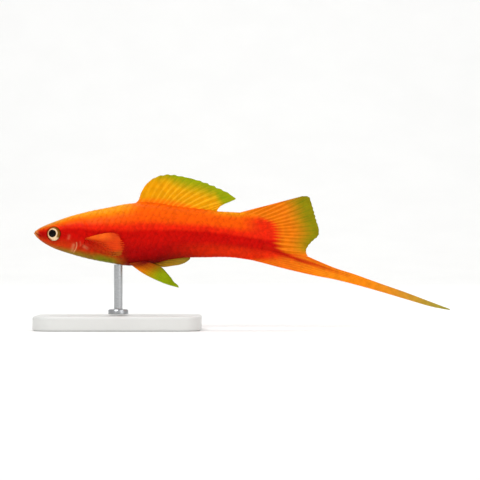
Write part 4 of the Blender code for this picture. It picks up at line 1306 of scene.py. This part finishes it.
def build_post(paint):
    """The rod and its collar at their solid's size, turned round their axis."""
    foot, top = (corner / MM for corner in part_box("stand_rod"))
    radius = (top.x - foot.x) / 2
    collar = foot.z + COLLAR_HEIGHT
    small = COLLAR_CHAMFER / 3
    profile = (
        (0.0, foot.z), (radius - small, foot.z), (radius, foot.z + small), (radius, collar - COLLAR_CHAMFER),
        (radius - small, collar - small), (radius - COLLAR_CHAMFER, collar), (ROD_RADIUS + small, collar),
        (ROD_RADIUS, collar + small), (ROD_RADIUS, top.z - ROD_TIP), (ROD_RADIUS, top.z), (0.0, top.z),
    )
    bm = bmesh.new()
    line = [bm.verts.new(Vector((r, 0, z)) * MM) for r, z in profile]
    edges = [bm.edges.new(pair) for pair in zip(line, line[1:])]
    bmesh.ops.spin(
        bm, geom=line + edges, cent=(0, 0, 0), axis=(0, 0, 1), angle=math.tau, steps=64, use_merge=True
    )
    bmesh.ops.remove_doubles(bm, verts=bm.verts, dist=0.001 * MM)
    bmesh.ops.recalc_face_normals(bm, faces=bm.faces)
    bmesh.ops.translate(bm, verts=bm.verts, vec=((foot + top).x / 2 * MM, 0, 0))
    dress(smooth_object("post", bm), "stand_rod", rod_material(paint), "stand_rod")


def lamp(name, place, aim, power, width):
    data = bpy.data.lights.new(name, "AREA")
    data.energy = power
    data.size = width
    made = add_object(name, data)
    made.location = place
    made.rotation_euler = (Vector(aim) - Vector(place)).to_track_quat("-Z", "Y").to_euler()


def paper_material(stage):
    made, tree, shader = new_material("Pale paper", PAPER_GLOSS)
    feed(tree, shader, (("Base Color", two_tone(tree, mottled(tree, 30.0, 3.0), stage.floor, 0.985)),))
    return made


def build_backdrop(stage):
    """A pale floor that curves up into a wall behind."""
    foot = FLOOR_REAR - WALL_BEND
    turn = np.linspace(0, math.pi / 2, 25)
    profile = [(FLOOR_FRONT, 0.0), (foot, 0.0)]
    profile += [(foot + WALL_BEND * math.sin(a), WALL_BEND - WALL_BEND * math.cos(a)) for a in turn[1:]]
    profile += [(FLOOR_REAR, WALL_TOP)]
    points = [(x, y, z) for x in (-FLOOR_HALF_WIDTH, FLOOR_HALF_WIDTH) for y, z in profile]
    count = len(profile)
    faces = [(i, count + i, count + i + 1, i + 1) for i in range(count - 1)]
    mesh = bpy.data.meshes.new("backdrop")
    mesh.from_pydata(points, [], faces)
    mesh.shade_smooth()
    mesh.materials.append(paper_material(stage))
    add_object("backdrop", mesh)


def build_surroundings(scene):
    """White light from all sides, which the camera sees brighter."""
    world = bpy.data.worlds.new("Studio")
    world.use_nodes = True
    sky = world.node_tree
    seen = node(sky, "ShaderNodeLightPath").outputs["Is Camera Ray"]
    strength = ramp(sky, seen, 0.0, 1.0, SKY_LIGHT, SKY_SEEN)
    feed(sky, sky.nodes["Background"], (("Color", (1.0, 1.0, 1.0, 1.0)), ("Strength", strength)))
    scene.world = world
    scene.view_settings.view_transform = "Standard"


def build_camera(scene, lens):
    """A camera square on the left flank, as far off as its lens needs for the photograph's frame."""
    camera = bpy.data.cameras.new("camera")
    camera.lens = lens
    camera.sensor_width = SENSOR
    camera.clip_start = 0.01
    camera.clip_end = 20.0
    holder = add_object("camera", camera)
    distance = VIEW_WIDTH * lens / SENSOR
    holder.location = (VIEW_CENTRE[0] * MM, -distance * MM, VIEW_CENTRE[1] * MM)
    holder.rotation_euler = (math.pi / 2, 0, 0)
    scene.camera = holder


def build_stage(context):
    """Backdrop, lamps, surroundings and camera."""
    stage = context.scene.swordtail_stage
    build_backdrop(stage)
    for name, place, aim, power, width in LAMPS:
        lamp(name, place, aim, power * stage.lamps, width)
    build_surroundings(context.scene)
    build_camera(context.scene, stage.lens)


def fish_settings(context):
    return context.scene.swordtail_sizes, context.scene.swordtail_colours


class SWORDTAIL_OT_effects(Operator):
    """Make the shader node groups that the fish's materials share"""

    bl_idname = "swordtail.effects"
    bl_label = "Shared effects"

    def execute(self, context):
        pigment_and_highlight_group()
        sheen_group()
        fin_group()
        return {"FINISHED"}


class SWORDTAIL_OT_skin(Operator):
    """Build the skin of head, torso and tail in one piece"""

    bl_idname = "swordtail.skin"
    bl_label = "Skin"

    def execute(self, context):
        build_skin(*fish_settings(context))
        return {"FINISHED"}


class SWORDTAIL_OT_scales(Operator):
    """Lay the scales over the skin"""

    bl_idname = "swordtail.scales"
    bl_label = "Scales"

    def execute(self, context):
        build_scales(*fish_settings(context))
        return {"FINISHED"}


class SWORDTAIL_OT_eyes(Operator):
    """Build both eyes"""

    bl_idname = "swordtail.eyes"
    bl_label = "Eyes"

    def execute(self, context):
        build_eyes(*fish_settings(context))
        return {"FINISHED"}


class SWORDTAIL_OT_tail(Operator):
    """Build the tail's fan and its sword"""

    bl_idname = "swordtail.tail"
    bl_label = "Tail fan and sword"

    def execute(self, context):
        build_fan(*fish_settings(context))
        build_sword(*fish_settings(context))
        return {"FINISHED"}


class SWORDTAIL_OT_dorsal(Operator):
    """Build the dorsal fin"""

    bl_idname = "swordtail.dorsal"
    bl_label = "Dorsal fin"

    def execute(self, context):
        build_dorsal(*fish_settings(context))
        return {"FINISHED"}


class SWORDTAIL_OT_paired(Operator):
    """Build the pectoral and pelvic fins and the gonopodium"""

    bl_idname = "swordtail.paired"
    bl_label = "Pectoral, pelvic and anal fins"

    def execute(self, context):
        build_paired_fins(*fish_settings(context))
        build_gonopodium(*fish_settings(context))
        return {"FINISHED"}


class SWORDTAIL_OT_stand(Operator):
    """Build the stand's plate and rod"""

    bl_idname = "swordtail.stand"
    bl_label = "Stand"

    def execute(self, context):
        build_plate(context.scene.swordtail_colours)
        build_post(context.scene.swordtail_colours)
        return {"FINISHED"}


class SWORDTAIL_OT_stage(Operator):
    """Set up the floor, lamps and camera"""

    bl_idname = "swordtail.stage"
    bl_label = "Stage"

    def execute(self, context):
        build_stage(context)
        return {"FINISHED"}


OPERATORS = (
    SWORDTAIL_OT_effects, SWORDTAIL_OT_skin, SWORDTAIL_OT_scales, SWORDTAIL_OT_eyes, SWORDTAIL_OT_dorsal,
    SWORDTAIL_OT_tail, SWORDTAIL_OT_paired, SWORDTAIL_OT_stand, SWORDTAIL_OT_stage,
)
SETTINGS = (
    ("swordtail_sizes", SwordtailSizes), ("swordtail_colours", SwordtailColours),
    ("swordtail_stage", SwordtailStage),
)


class SWORDTAIL_PT_panel(Panel):
    """Sizes, colours and build steps"""

    bl_label = "Swordtail"
    bl_space_type = "VIEW_3D"
    bl_region_type = "UI"
    bl_category = "Swordtail"

    def draw(self, context):
        for name, group in SETTINGS:
            box = self.layout.box()
            for key in group.__annotations__:
                box.prop(getattr(context.scene, name), key)
        for operator in OPERATORS:
            self.layout.operator(operator.bl_idname)


def register():
    for name, group in SETTINGS:
        bpy.utils.register_class(group)
        setattr(bpy.types.Scene, name, PointerProperty(type=group))
    for made in (*OPERATORS, SWORDTAIL_PT_panel):
        bpy.utils.register_class(made)


def unregister():
    for made in (SWORDTAIL_PT_panel, *reversed(OPERATORS)):
        bpy.utils.unregister_class(made)
    for name, group in reversed(SETTINGS):
        delattr(bpy.types.Scene, name)
        bpy.utils.unregister_class(group)


def main():
    register()
    for operator in OPERATORS:
        family, step = operator.bl_idname.split(".")
        getattr(getattr(bpy.ops, family), step)()


if __name__ == "__main__":
    main()
